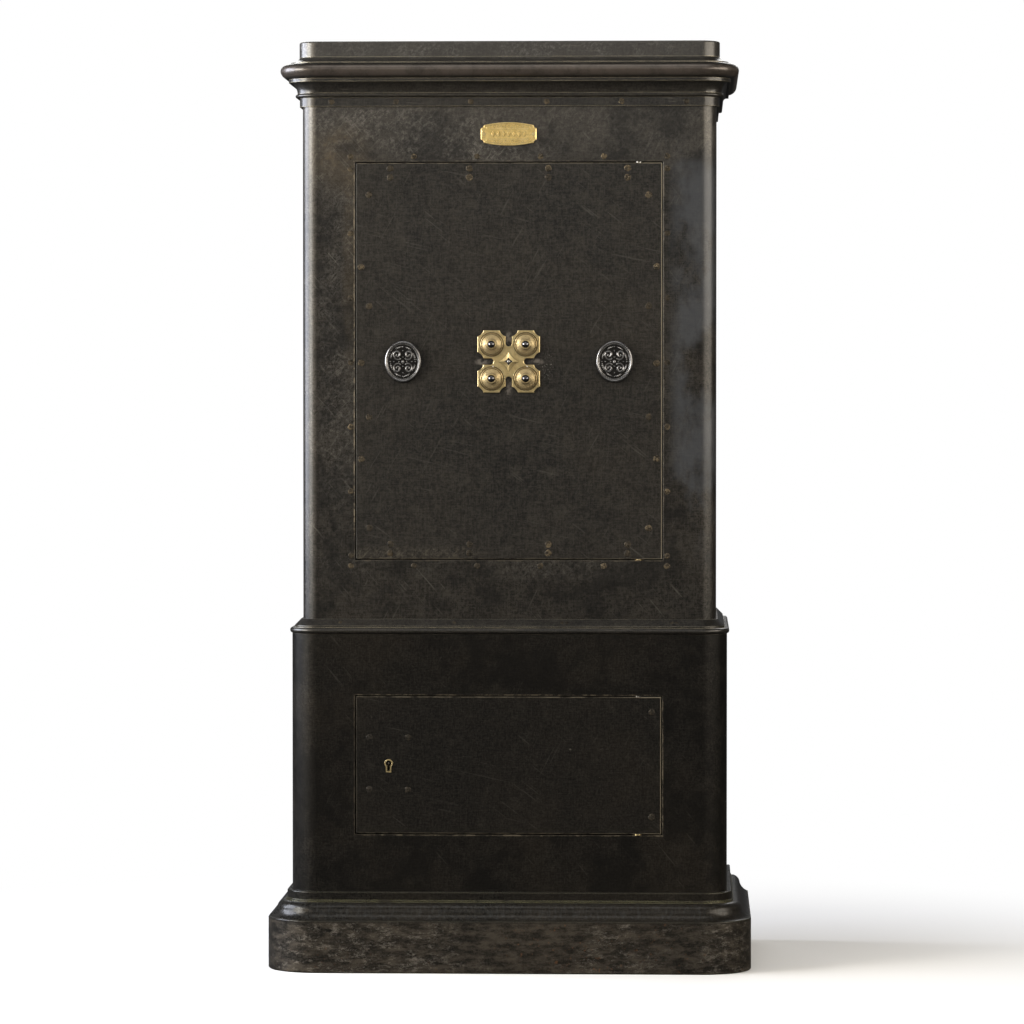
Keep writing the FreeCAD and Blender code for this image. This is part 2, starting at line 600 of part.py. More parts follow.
def make_bolt_work():
    y0 = -182.0
    y1 = -170.0
    teeth, root = rack_teeth(y0, y1)
    bar = box(BAR_LEFT, BAR_RIGHT, y0, -150.0, BOLT_ZS[0] - 20.0, BOLT_ZS[-1] + 20.0)
    link = box(BAR_RIGHT, 232.0, y0, y1, LINK_LOW, LINK_HIGH)
    rack = box(130.0, 232.0, y0, y1, LINK_HIGH, root)
    carriage = bar.fuse([link, rack] + teeth)
    notch_x = -150.0
    notches = [box(x - 11.0, x + 11.0, y0 - 1, y1 + 1, LINK_HIGH - KEY_BOLT_TRAVEL - 0.5, LINK_HIGH + 1)
               for x in (notch_x, notch_x + THROW)]
    write("bolt_bar", carriage.cut(notches).removeSplitter())
    write("door_bolts", [rod_x(BOLT_Y, z, BOLT_RADIUS, BOX_LEFT, BAR_LEFT) for z in BOLT_ZS])

    bush = rod_y(KEY_X, LOCK_Z, 14.0, MAIN_FRONT, MAIN_REAR)
    write("crank_bush", bush.cut(rod_y(KEY_X, LOCK_Z, 8.0 + RUNNING, MAIN_FRONT - 1, MAIN_REAR + 1)))
    shaft = rod_y(KEY_X, LOCK_Z, 8.0, MAIN_FRONT + 0.5, -155.0)
    pinion = gear_outline(KEY_X, LOCK_Z, -181.0).extrude(V(0, 10.0, 0))
    socket = box(KEY_X - 4.5, KEY_X + 4.5, MAIN_FRONT - 1, MAIN_FRONT + 18.0, LOCK_Z - 4.5, LOCK_Z + 4.5)
    write("crank_spindle", shaft.fuse(pinion).cut(socket))
    bearing = box(KEY_X - 22.0, KEY_X + 22.0, MAIN_REAR, -160.0, LOCK_Z + 26.0, LOCK_Z + 32.0)
    bearing = bearing.fuse(box(KEY_X - 22.0, KEY_X + 22.0, -166.0, -160.0, LOCK_Z - 14.0, LOCK_Z + 32.0))
    bearing = bearing.cut(rod_y(KEY_X, LOCK_Z, 8.0 + RUNNING, -167.0, -159.0))
    write("spindle_bearing", bearing.removeSplitter())


def oval(x, z, half_wide, half_tall, y0, y1):
    ellipse = Part.Ellipse(V(x, y0, z + half_tall), V(x + half_wide, y0, z), V(x, y0, z))
    return Part.Face(Part.Wire(ellipse.toShape())).extrude(V(0, y1 - y0, 0))


def make_covers():
    """Oval covers that hang from a stud above each keyhole."""
    rear = MAIN_FRONT - REST_GAP
    face = rear - 10.0
    for name, x in (("key_cover", -KEY_X), ("crank_cover", KEY_X)):
        body = oval(x, LOCK_Z, 31.5, 36.0, face, rear)
        recess = oval(x, LOCK_Z, 26.5, 31.0, face - 1, face + 1.6)
        bore = rod_y(x, LOCK_Z + 27.0, 2.5 + RUNNING, MAIN_FRONT - 8.2, rear + 1)
        boss = oval(x, LOCK_Z, 13.0, 17.0, face, face + 1.6)
        write(name, body.cut([recess, bore]).fuse(boss))


def make_key_lock():
    """Lever lock behind the left keyhole; its bolt drops into the link of the bolt work."""
    bush = rod_y(-KEY_X, LOCK_Z, 14.0, MAIN_FRONT, MAIN_REAR)
    write("key_bush", bush.cut(keyhole_cut(-KEY_X, LOCK_Z, MAIN_FRONT - 1, MAIN_REAR + 1, 12.0)))
    left = -197.0
    right = -100.0
    low = LINK_HIGH + 2.0
    high = LOCK_Z + 60.0
    rear = -150.0
    wall = 3.0
    case = box(left, right, MAIN_REAR, rear, low, high)
    case = case.cut(box(left + wall, right - wall, MAIN_REAR - 1, rear - wall, low + wall, high - wall))
    bolt_x = (-160.0, -140.0)
    bolt_y = (-180.0, -172.0)
    slot = box(bolt_x[0] - RUNNING, bolt_x[1] + RUNNING, bolt_y[0] - RUNNING, bolt_y[1] + RUNNING,
               low - 1, low + wall + 1)
    post = (-112.0, LOCK_Z + 18.0)
    lever_post = rod_y(post[0], post[1], 3.0, -171.0, rear - wall)
    key_pin = rod_y(-KEY_X, LOCK_Z, 1.6, MAIN_FRONT + 2.0, rear - wall)
    write("key_lock_case", case.cut(slot).fuse([lever_post, key_pin]))
    write("key_lock_bolt", box(*bolt_x, *bolt_y, low, LOCK_Z + 10.0))
    write("key_lock_levers", lock_levers(-186.0, -106.0, LOCK_Z + 8.0, LOCK_Z + 28.0, post, -170.0))


# ------------------------------------------------------------------ cabinet door
def make_cabinet_door():
    plate = box(-LOW_HALF, LOW_HALF, LOW_FRONT, LOW_REAR, LOW_LOW, LOW_HIGH)
    plate = bevel_front(plate, LOW_FRONT, 0.8)
    places = [(LOW_KEY_X + side * 33.4, LOW_KEY_Z + rise * 45.0) for side in (-1, 1) for rise in (-1, 1)]
    places += [(246.5, 266.6), (246.5, 447.0)]
    heads, pockets = rivets(places, LOW_FRONT, 4.5)
    ring_room = rod_y(LOW_KEY_X, LOW_KEY_Z, 7.3, LOW_FRONT - 1, LOW_REAR + 1)
    tail_room = box(LOW_KEY_X - 4.8, LOW_KEY_X + 4.8, LOW_FRONT - 1, LOW_REAR + 1,
                    LOW_KEY_Z - 15.6, LOW_KEY_Z)
    surround = ring_room.fuse(tail_room)
    cuts = pockets + pivot_bores(LOW_PIVOT, LOW_PIN, LOW_LOW, LOW_HIGH) + [surround]
    write("lower_door_plate", plate.cut(cuts))
    write("lower_door_rivets", heads)

    ring = rod_y(LOW_KEY_X, LOW_KEY_Z, 7.25, LOW_FRONT - 0.8, LOW_REAR)
    tail = box(LOW_KEY_X - 4.75, LOW_KEY_X + 4.75, LOW_FRONT - 0.8, LOW_REAR, LOW_KEY_Z - 15.5, LOW_KEY_Z)
    hole = keyhole_cut(LOW_KEY_X, LOW_KEY_Z, LOW_FRONT - 2, LOW_REAR + 1, 13.4)
    write("lower_keyhole_ring", ring.fuse(tail).cut(hole))

    wall = 3.0
    rear = -180.5
    left = LOW_KEY_X - 38.0
    right = LOW_KEY_X + 38.0
    low = LOW_KEY_Z - 53.0
    high = LOW_KEY_Z + 53.0
    case = box(left, right, LOW_REAR, rear, low, high)
    case = case.cut(box(left + wall, right - wall, LOW_REAR - 1, rear - wall, low + wall, high - wall))
    bolt_y = (-203.0, -195.0)
    bolt_z = (LOW_KEY_Z + 17.0, LOW_KEY_Z + 31.0)
    slot = box(left - 1, left + wall + 1, bolt_y[0] - RUNNING, bolt_y[1] + RUNNING,
               bolt_z[0] - RUNNING, bolt_z[1] + RUNNING)
    post = (right - 9.0, LOW_KEY_Z + 10.0)
    lever_post = rod_y(post[0], post[1], 3.0, -194.0, rear - wall)
    key_pin = rod_y(LOW_KEY_X, LOW_KEY_Z, 1.6, LOW_FRONT + 1.5, rear - wall)
    write("lower_lock_case", case.cut(slot).fuse([lever_post, key_pin]))
    write("lower_lock_bolt", box(left, right - 14.0, *bolt_y, *bolt_z))
    levers = lock_levers(left + 5.0, right - 5.5, LOW_KEY_Z + 4.0, LOW_KEY_Z + 20.0, post, -193.5)
    write("lower_lock_levers", levers)


# ------------------------------------------------------------------ assembly
main_pins = pivot_pins(MAIN_PIVOT, MAIN_PIN, MAIN_LOW, MAIN_HIGH)
low_pins = pivot_pins(LOW_PIVOT, LOW_PIN, LOW_LOW, LOW_HIGH)
write("pivot_pins", main_pins + low_pins)
main_washer = thrust_washer(MAIN_PIVOT, MAIN_PIN, MAIN_LOW)
low_washer = thrust_washer(LOW_PIVOT, LOW_PIN, LOW_LOW)
write("pivot_washers", [main_washer, low_washer])
make_base(low_pins)
make_ledge()
make_chest(main_pins)
make_name_plate()
make_main_door()
make_covers()
make_cabinet_door()
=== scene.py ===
import bmesh
import bpy
import math
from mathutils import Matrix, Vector, noise


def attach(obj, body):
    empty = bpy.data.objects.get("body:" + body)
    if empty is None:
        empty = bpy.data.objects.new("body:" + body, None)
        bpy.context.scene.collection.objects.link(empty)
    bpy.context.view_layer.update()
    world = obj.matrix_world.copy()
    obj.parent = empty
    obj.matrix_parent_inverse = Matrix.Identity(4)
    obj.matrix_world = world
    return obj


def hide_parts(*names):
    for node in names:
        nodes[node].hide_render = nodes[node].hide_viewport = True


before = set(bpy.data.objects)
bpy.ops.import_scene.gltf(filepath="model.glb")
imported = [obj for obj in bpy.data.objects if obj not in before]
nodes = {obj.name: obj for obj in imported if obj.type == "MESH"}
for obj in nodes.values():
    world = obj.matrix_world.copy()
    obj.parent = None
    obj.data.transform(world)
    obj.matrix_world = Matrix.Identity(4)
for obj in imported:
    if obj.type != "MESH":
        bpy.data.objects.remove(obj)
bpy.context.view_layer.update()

MM = 0.001
# Dimensions are in millimetres.  In plan, every level is an offset round the same corner axes.
BACK = 260.0
CORNER_X = 329.0          # axes of the rounded front corners
CORNER_Y = -174.0
FRONT_OFFSET = 155.0      # front face y = FRONT_OFFSET - half width, at every level
SKIN = 8.0                # casing plate
CHEST_HALF = 357.0
CHEST_FRONT = -202.0
BASE_HALF = 376.0
BASE_FRONT = -221.0
BASE_TOP = 581.0
CHEST_BOTTOM = 590.0
FRIEZE_LOW = 1488.0
FRIEZE_HIGH = 1504.0
CHEST_TOP = 1573.0
CAP_HALF = 362.5
CAP_ROUND = 3.0           # rounded top edge of the cap
CAP_SHOULDER = 1597.0
LOCK_Z = 1049.5           # middle of the dials and of both covers
KEY_X = 182.0             # covers, left and right of the middle
DIAL_STEP = 29.4          # dials, either side of LOCK_Z and of x = 0
KNOB_SPOKES = 96
COVER_WIDE = 31.5         # half axes of the oval covers
COVER_TALL = 36.0
RECESS_RISE = 7.8         # floor of the covers' recess
PLATE_Z = 1440.5          # name plate


# ------------------------------------------------------------------ mesh helpers
def make_piece(name, verts, faces, material, body, replaces=(), smooth=True):
    """Object from points in millimetres that rides on a body and may stand for CAD nodes."""
    mesh = bpy.data.meshes.new(name)
    mesh.from_pydata([Vector(v) * MM for v in verts], [], faces)
    mesh.validate()
    work = bmesh.new()
    work.from_mesh(mesh)
    bmesh.ops.recalc_face_normals(work, faces=work.faces)
    work.to_mesh(mesh)
    work.free()
    if smooth:
        mesh.shade_smooth()
    mesh.materials.append(material)
    piece = bpy.data.objects.new(name, mesh)
    bpy.context.scene.collection.objects.link(piece)
    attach(piece, body)
    if replaces:
        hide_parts(*replaces)
    return piece


def weighted(piece):
    modifier = piece.modifiers.new("normals", "WEIGHTED_NORMAL")
    modifier.weight = 80
    modifier.keep_sharp = True


def arc_through(start, middle, end, count):
    """Points of the circle arc from start through middle to end, without start."""
    (ax, ay), (bx, by), (cx, cy) = start, middle, end
    d = 2 * (ax * (by - cy) + bx * (cy - ay) + cx * (ay - by))
    a2, b2, c2 = ax * ax + ay * ay, bx * bx + by * by, cx * cx + cy * cy
    ux = (a2 * (by - cy) + b2 * (cy - ay) + c2 * (ay - by)) / d
    uy = (a2 * (cx - bx) + b2 * (ax - cx) + c2 * (bx - ax)) / d
    radius = math.hypot(ax - ux, ay - uy)
    first = math.atan2(ay - uy, ax - ux)
    last = math.atan2(cy - uy, cx - ux)
    between = math.atan2(by - uy, bx - ux)
    turn = (last - first) % (2 * math.pi)
    if (between - first) % (2 * math.pi) > turn:
        turn -= 2 * math.pi
    angles = [first + turn * i / count for i in range(1, count + 1)]
    return [(ux + radius * math.cos(a), uy + radius * math.sin(a)) for a in angles]


def profile(start, steps, count=8):
    """Line of points; a step is a point, or a middle and an end that an arc runs through."""
    points = [start]
    for step in steps:
        if len(step) == 2:
            points.append(step)
        else:
            points += arc_through(points[-1], step[:2], step[2:], count)
    return points


def soften(points, size, count=3):
    """Round the corners of a closed line of points that turn by more than about 20 degrees."""
    result = []
    total = len(points)
    for i, here in enumerate(points):
        before, after = points[i - 1], points[(i + 1) % total]
        u = Vector(before) - Vector(here)
        v = Vector(after) - Vector(here)
        if u.length < 1e-6 or v.length < 1e-6:
            continue
        if (-u).angle(v) < math.radians(20):
            result.append(here)
            continue
        reach = min(size, u.length * 0.45, v.length * 0.45)
        a = Vector(here) + u.normalized() * reach
        b = Vector(here) + v.normalized() * reach
        for k in range(count + 1):
            t = k / count
            p = a * (1 - t) ** 2 + Vector(here) * 2 * t * (1 - t) + b * t * t
            result.append((p.x, p.y))
    return result


def plan(half, back=BACK, breaks=(), fine=16):
    """The plan outline from the left back, round the front, to the right back."""
    radius = half - CORNER_X
    left = [(-half, back)]
    for step in range(fine + 1):
        angle = math.pi + step / fine * math.pi / 2
        left.append((-CORNER_X + radius * math.cos(angle), CORNER_Y + radius * math.sin(angle)))
    right = [(-x, y) for x, y in reversed(left)]
    return left + [(x, CORNER_Y - radius) for x in breaks] + right


def sweep(name, section, material, body, replaces, edge=0.6):
    """Run a closed section of (half width, height) round the front and both sides."""
    section = soften(section, edge)
    paths = [plan(half) for half, z in section]
    stations = len(paths[0])
    count = len(section)
    verts = [(*paths[j][i], section[j][1]) for i in range(stations) for j in range(count)]
    faces = []
    for i in range(stations - 1):
        for j in range(count):
            k = (j + 1) % count
            faces.append((i * count + j, i * count + k, (i + 1) * count + k, (i + 1) * count + j))
    faces.append(tuple(range(count)))
    faces.append(tuple((stations - 1) * count + j for j in reversed(range(count))))
    piece = make_piece(name, verts, faces, material, body, replaces)
    piece.data.set_sharp_from_angle(angle=math.radians(50))
    weighted(piece)
    return piece


def stacked(name, levels, material, body, replaces):
    """Solid slab from rings of (half width, back, height)."""
    verts = []
    faces = []
    for half, back, z in levels:
        verts += [(x, y, z) for x, y in plan(half, back)]
    count = len(verts) // len(levels)
    for i in range(len(levels) - 1):
        for j in range(count):
            k = (j + 1) % count
            faces.append((i * count + j, i * count + k, (i + 1) * count + k, (i + 1) * count + j))
    faces.append(tuple(range(count)))
    faces.append(tuple((len(levels) - 1) * count + j for j in range(count)))
    piece = make_piece(name, verts, faces, material, body, replaces)
    piece.data.set_sharp_from_angle(angle=math.radians(50))
    weighted(piece)
    return piece


def casing(name, half, low, high, opening, material, replaces):
    """Plate shell bent round the front and sides, with the door opening cut in it."""
    wide, door_low, door_high = opening
    breaks = (-wide, wide)
    path = plan(half, BACK - SKIN, breaks, 20)
    levels = [low, door_low, door_high, high]
    verts = [(x, y, z) for z in levels for x, y in path]
    count = len(path)
    left = path.index(min((p for p in path if abs(p[0] + wide) < 1e-6), key=lambda p: p[1]))
    faces = []
    for i in range(len(levels) - 1):
        for j in range(count - 1):
            if i == 1 and j == left:
                continue
            k = j + 1
            faces.append((i * count + j, i * count + k, (i + 1) * count + k, (i + 1) * count + j))
    piece = make_piece(name, verts, faces, material, "carcass", replaces)
    inside = Vector((0, 0.05, (low + high) / 2 * MM))
    first = piece.data.polygons[0]
    outwards = (first.center - inside).dot(first.normal) > 0
    solid = piece.modifiers.new("plate", "SOLIDIFY")
    solid.thickness = SKIN * MM
    solid.offset = -1.0 if outwards else 1.0
    solid.use_even_offset = True
    bevel = piece.modifiers.new("edges", "BEVEL")
    bevel.width = 0.8 * MM
    bevel.segments = 2
    bevel.limit_method = "ANGLE"
    bevel.angle_limit = math.radians(40)
    weighted(piece)
    return piece


def lathe(section, x, z, seat, count):
    """Vertices and faces of a turned piece about an axis along -Y; section of (radius, rise)."""
    verts = []
    faces = []
    for radius, rise in section:
        for k in range(count):
            a = 2 * math.pi * k / count
            verts.append((x + radius * math.cos(a), seat - rise, z + radius * math.sin(a)))
    for i in range(len(section) - 1):
        for k in range(count):
            m = (k + 1) % count
            faces.append((i * count + k, i * count + m, (i + 1) * count + m, (i + 1) * count + k))
    faces.append(tuple(range(count)))
    faces.append(tuple((len(section) - 1) * count + k for k in range(count)))
    return verts, faces


def gather(parts):
    """Join several (verts, faces) lists into one."""
    verts = []
    faces = []
    for some_verts, some_faces in parts:
        shift = len(verts)
        verts += some_verts
        faces += [tuple(i + shift for i in face) for face in some_faces]
    return verts, faces


# ------------------------------------------------------------------ material helpers
class Shader:
    """One procedural material: nodes are made by name and joined by passing sockets as values."""

    def __init__(self, name):
        self.material = bpy.data.materials.new(name)
        self.material.use_nodes = True
        self.tree = self.material.node_tree
        self.tree.nodes.clear()
        self.place = self.node("TexCoord").outputs["Object"]
        split = self.node("SeparateXYZ", {0: self.place})
        self.x, self.y, self.z = split.outputs

    def node(self, kind, values=None, **settings):
        made = self.tree.nodes.new("ShaderNode" + kind)
        for key, value in settings.items():
            setattr(made, key, value)
        for key, value in (values or {}).items():
            socket = made.inputs[key]
            if isinstance(value, bpy.types.NodeSocket):
                self.tree.links.new(value, socket)
            else:
                socket.default_value = value
        return made

    def noise(self, scale, detail=4.0, rough=0.55, stretch=(1, 1, 1), turn=0.0, warp=0.0, move=(0, 0, 0)):
        """Noise between 0 and 1; scale is in features per metre, turn tilts it in the front plane."""
        place = self.place
        if turn:
            place = self.node("Mapping", {0: place, 2: (0, turn, 0)}).outputs[0]
        mapped = self.node("Mapping", {0: place, 1: move, 3: stretch})
        values = {"Vector": mapped.outputs[0], "Scale": scale, "Detail": detail, "Roughness": rough,
                  "Distortion": warp}
        return self.node("TexNoise", values).outputs[0]

    def ramp(self, value, low, high, first=0.0, last=1.0):
        values = {0: value, 1: low, 2: high, 3: first, 4: last}
        return self.node("MapRange", values, interpolation_type="SMOOTHSTEP").outputs[0]

    def math(self, operation, a, b=0.0):
        return self.node("Math", {0: a, 1: b}, operation=operation).outputs[0]

    def times(self, *factors):
        result = factors[0]
        for factor in factors[1:]:
            result = self.math("MULTIPLY", result, factor)
        return result

    def plus(self, *terms):
        result = terms[0]
        for term in terms[1:]:
            result = self.math("ADD", result, term)
        return result

    def mix(self, factor, a, b):
        """Blend of two colours, each (r, g, b) or a socket."""
        a = (*a, 1.0) if isinstance(a, tuple) else a
        b = (*b, 1.0) if isinstance(b, tuple) else b
        return self.node("Mix", {0: factor, 6: a, 7: b}, data_type="RGBA").outputs[2]

    def edge(self, radius, reach):
        """About 1 on outer edges sharper than the radius, 0 on flat faces."""
        rounded = self.node("Bevel", {0: radius * MM}, samples=4).outputs[0]
        plain = self.node("NewGeometry").outputs["Normal"]
        along = self.node("VectorMath", {0: rounded, 1: plain}, operation="DOT_PRODUCT").outputs["Value"]
        return self.ramp(self.math("SUBTRACT", 1.0, along), 0.0, reach)

    def band(self, value, low, high, soft):
        """1 between low and high, falling to 0 over soft outside them."""
        rise = self.ramp(value, low - soft, low)
        fall = self.ramp(value, high, high + soft, 1.0, 0.0)
        return self.times(rise, fall)

    def spot(self, x, z, wide, tall, soft=0.6):
        """Soft oval patch on the front about (x, z), sizes in metres."""
        u = self.math("DIVIDE", self.math("SUBTRACT", self.x, x), wide)
        v = self.math("DIVIDE", self.math("SUBTRACT", self.z, z), tall)
        far = self.math("SQRT", self.plus(self.times(u, u), self.times(v, v)))
        return self.ramp(far, 1.0 - soft, 1.0, 1.0, 0.0)

    def frame_line(self, half, low, high):
        """Distance, in metres, from the nearest side of a door opening; it is negative inside."""
        across = self.math("SUBTRACT", self.math("ABSOLUTE", self.x), half)
        middle = (low + high) / 2
        rise = self.math("ABSOLUTE", self.math("SUBTRACT", self.z, middle))
        up = self.math("SUBTRACT", rise, (high - low) / 2)
        return self.math("MAXIMUM", across, up)

    def finish(self, colour, metallic, rough, height, depth, coat=0.0, coat_rough=0.1, rounding=0.0,
               specular=0.5):
        """Principled surface; height is a bump between 0 and 1 and depth its size in millimetres."""
        values = {"Base Color": (*colour, 1.0) if isinstance(colour, tuple) else colour, "Metallic": metallic,
                  "Roughness": rough, "Coat Weight": coat, "Coat Roughness": coat_rough,
                  "Specular IOR Level": specular}
        shader = self.node("BsdfPrincipled", values)
        bump = self.node("Bump", {"Strength": 1.0, "Distance": depth * MM, "Height": height})
        if rounding:
            rounded = self.node("Bevel", {0: rounding * MM}, samples=4).outputs[0]
            self.tree.links.new(rounded, bump.inputs["Normal"])
        self.tree.links.new(bump.outputs[0], shader.inputs["Normal"])
        out = self.node("OutputMaterial")
        self.tree.links.new(shader.outputs[0], out.inputs["Surface"])
        return self.material


def paint(names, material):
    """Give CAD nodes that stay visible a finished material."""
    for name in names:
        mesh = nodes[name].data
        if not mesh.materials:
            mesh.materials.append(material)
        for i in range(len(mesh.materials)):
            mesh.materials[i] = material


# ------------------------------------------------------------------ blackened steel
DARK = (0.0058, 0.0057, 0.0053)
BROWN = (0.0120, 0.0101, 0.0076)
PALE = (0.135, 0.125, 0.110)
RUST = (0.16, 0.075, 0.032)


def blotches(s):
    return s.ramp(s.noise(36.0, 9.0, 0.78), 0.50, 0.70)


def steel_base(s, lift=1.0):
    """Shared ground of every blackened surface: colour, roughness and bump."""
    cloud = s.ramp(s.noise(3.1, 6.0, 0.6, warp=0.3), 0.36, 0.66)
    mottle = s.ramp(s.noise(240.0, 5.0, 0.80), 0.40, 0.64)
    grain = s.noise(1000.0, 2.0, 0.6)
    across = s.noise(330.0, 2.0, 0.6, stretch=(0.16, 1, 2.0))
    upright = s.noise(330.0, 2.0, 0.6, stretch=(2.0, 1, 0.16), move=(3, 0, 1))
    weave = s.times(s.plus(across, upright), 0.5)
    blotch = blotches(s)
    speck = s.ramp(s.noise(420.0, 3.0, 0.6), 0.66, 0.74)
    colour = s.mix(cloud, DARK, BROWN)
    colour = s.mix(s.times(blotch, 0.38 * lift), colour, (0.048, 0.043, 0.034))
    colour = s.mix(s.times(mottle, 0.40 * lift), colour, (0.060, 0.053, 0.043))
    colour = s.mix(s.times(speck, 0.35 * lift), colour, (0.13, 0.12, 0.10))
    colour = s.mix(s.ramp(weave, 0.47, 0.57, 0.0, 0.26 * lift), colour, (0.056, 0.051, 0.044))
    rough = s.plus(0.30, s.times(cloud, 0.05), s.times(blotch, 0.08), s.times(mottle, 0.06))
    waves = s.noise(9.0, 2.0, 0.5)
    height = s.plus(s.times(grain, 0.08), s.times(weave, 0.16), s.times(waves, 1.4), s.times(mottle, 0.10))
    return colour, rough, height


def scratches(s, turn, move, amount, short=0.05):
    """Fine straight scratches that come and go; they tilt in the front plane."""
    thin = s.noise(300.0, 1.0, 0.5, stretch=(1, 1, short), turn=turn, move=move)
    patch = s.ramp(s.noise(11.0, 4.0, 0.6, move=move), 0.48, 0.64)
    return s.times(s.ramp(thin, 0.66, 0.74), patch, amount)


def scuffing(s, move=(0, 0, 0)):
    """Crumbly bare patches with short diagonal strokes in them."""
    crumbs = s.ramp(s.noise(150.0, 9.0, 0.85, move=move), 0.48, 0.62)
    strokes = s.ramp(s.noise(210.0, 5.0, 0.75, stretch=(1, 1, 0.25), turn=-0.75, move=move), 0.54, 0.66)
    return s.math("MAXIMUM", crumbs, s.times(strokes, 0.9))


def casing_steel(name, lift, specular, left_lip, other_lips):
    """Casing plate; the lips say how far the openings' edges are worn bright, left and elsewhere."""
    s = Shader(name)
    colour, rough, height = steel_base(s, lift)
    upper = s.frame_line(0.2655, 0.7075, 1.393)
    lower = s.frame_line(0.2645, 0.235, 0.475)
    near_door = s.math("MINIMUM", s.math("ABSOLUTE", upper), s.math("ABSOLUTE", lower))
    front = s.ramp(s.y, -0.17, -0.19)
    crumbs = scuffing(s)
    patchy = s.ramp(s.noise(13.0, 5.0, 0.65, move=(4, 0, 2)), 0.36, 0.60)

    # the plate is greyer towards the top, with bare metal above the door
    high = s.ramp(s.z, 1.30, 1.50)
    colour = s.mix(s.times(high, s.plus(0.22, s.times(crumbs, 0.50))), colour, (0.105, 0.096, 0.083))
    above = s.plus(s.spot(-0.075, 1.425, 0.19, 0.060), s.times(s.spot(-0.19, 1.455, 0.15, 0.05), 0.7))
    above = s.times(above, s.plus(0.30, s.times(patchy, 0.70)))
    left = s.times(s.band(s.x, -0.315, -0.270, 0.03), s.band(s.z, 0.85, 1.42, 0.2), patchy, 0.6)
    foot = s.times(s.band(s.z, 0.685, 0.705, 0.02), s.ramp(s.noise(5.0, 3.0), 0.45, 0.6), 0.4)
    scuff = s.times(crumbs, s.math("MINIMUM", 1.0, s.plus(above, left, foot)), front)
    colour = s.mix(s.times(scuff, 0.90), colour, PALE)
    corner = s.plus(s.spot(-0.285, 1.40, 0.07, 0.075), s.times(s.spot(-0.272, 1.20, 0.02, 0.22), 0.7))
    smear = s.times(corner, s.plus(0.35, s.times(blotches(s), 0.65)), front)
    colour = s.mix(s.times(smear, 0.60), colour, (0.105, 0.078, 0.045))
    streaks = s.plus(scratches(s, 0.70, (0, 0, 0), 0.22 * lift),
                     scratches(s, -0.45, (5, 0, 2), 0.16 * lift))
    colour = s.mix(streaks, colour, (0.15, 0.140, 0.120))
    soot = s.ramp(s.noise(11.0, 7.0, 0.72, move=(8, 3, 1)), 0.44, 0.60)
    colour = s.mix(s.times(soot, 0.62), colour, DARK)

    # painted reflection: a smoky bluish haze with soft dark patches on the right of the chest, standing for
    # the room reflected there
    haze_noise = s.ramp(s.noise(8.5, 4.0, 0.6, stretch=(1.3, 1, 0.8), move=(1, 0, 4)), 0.40, 0.58)
    reflection_haze = s.times(s.ramp(s.x, 0.268, 0.30), s.band(s.z, 0.78, 1.36, 0.10), haze_noise, front)
    colour = s.mix(s.times(reflection_haze, 0.60), colour, (0.070, 0.075, 0.083))

    # worn lips of the openings and a little rubbed edge elsewhere
    lip = s.ramp(near_door, 0.0008, 0.0032, 1.0, 0.0)
    ragged = s.ramp(s.noise(70.0, 5.0, 0.75), 0.44, 0.60)
    worn = s.ramp(s.x, -0.262, -0.258, left_lip, other_lips)
    colour = s.mix(s.times(lip, ragged, front, worn, 0.8), colour, (0.25, 0.21, 0.15))
    rubbed = s.times(s.edge(1.6, 0.10), s.ramp(s.noise(24.0, 4.0, 0.6), 0.30, 0.60))
    colour = s.mix(s.times(rubbed, 0.35), colour, (0.20, 0.17, 0.13))
    rough = s.plus(rough, s.times(scuff, 0.14), s.times(reflection_haze, 0.08))
    height = s.plus(height, s.times(streaks, -0.2), s.times(scuff, -0.10))
    return s.finish(colour, 0.45, rough, height, 0.20, coat=0.35 * specular, coat_rough=0.18,
                    specular=specular)


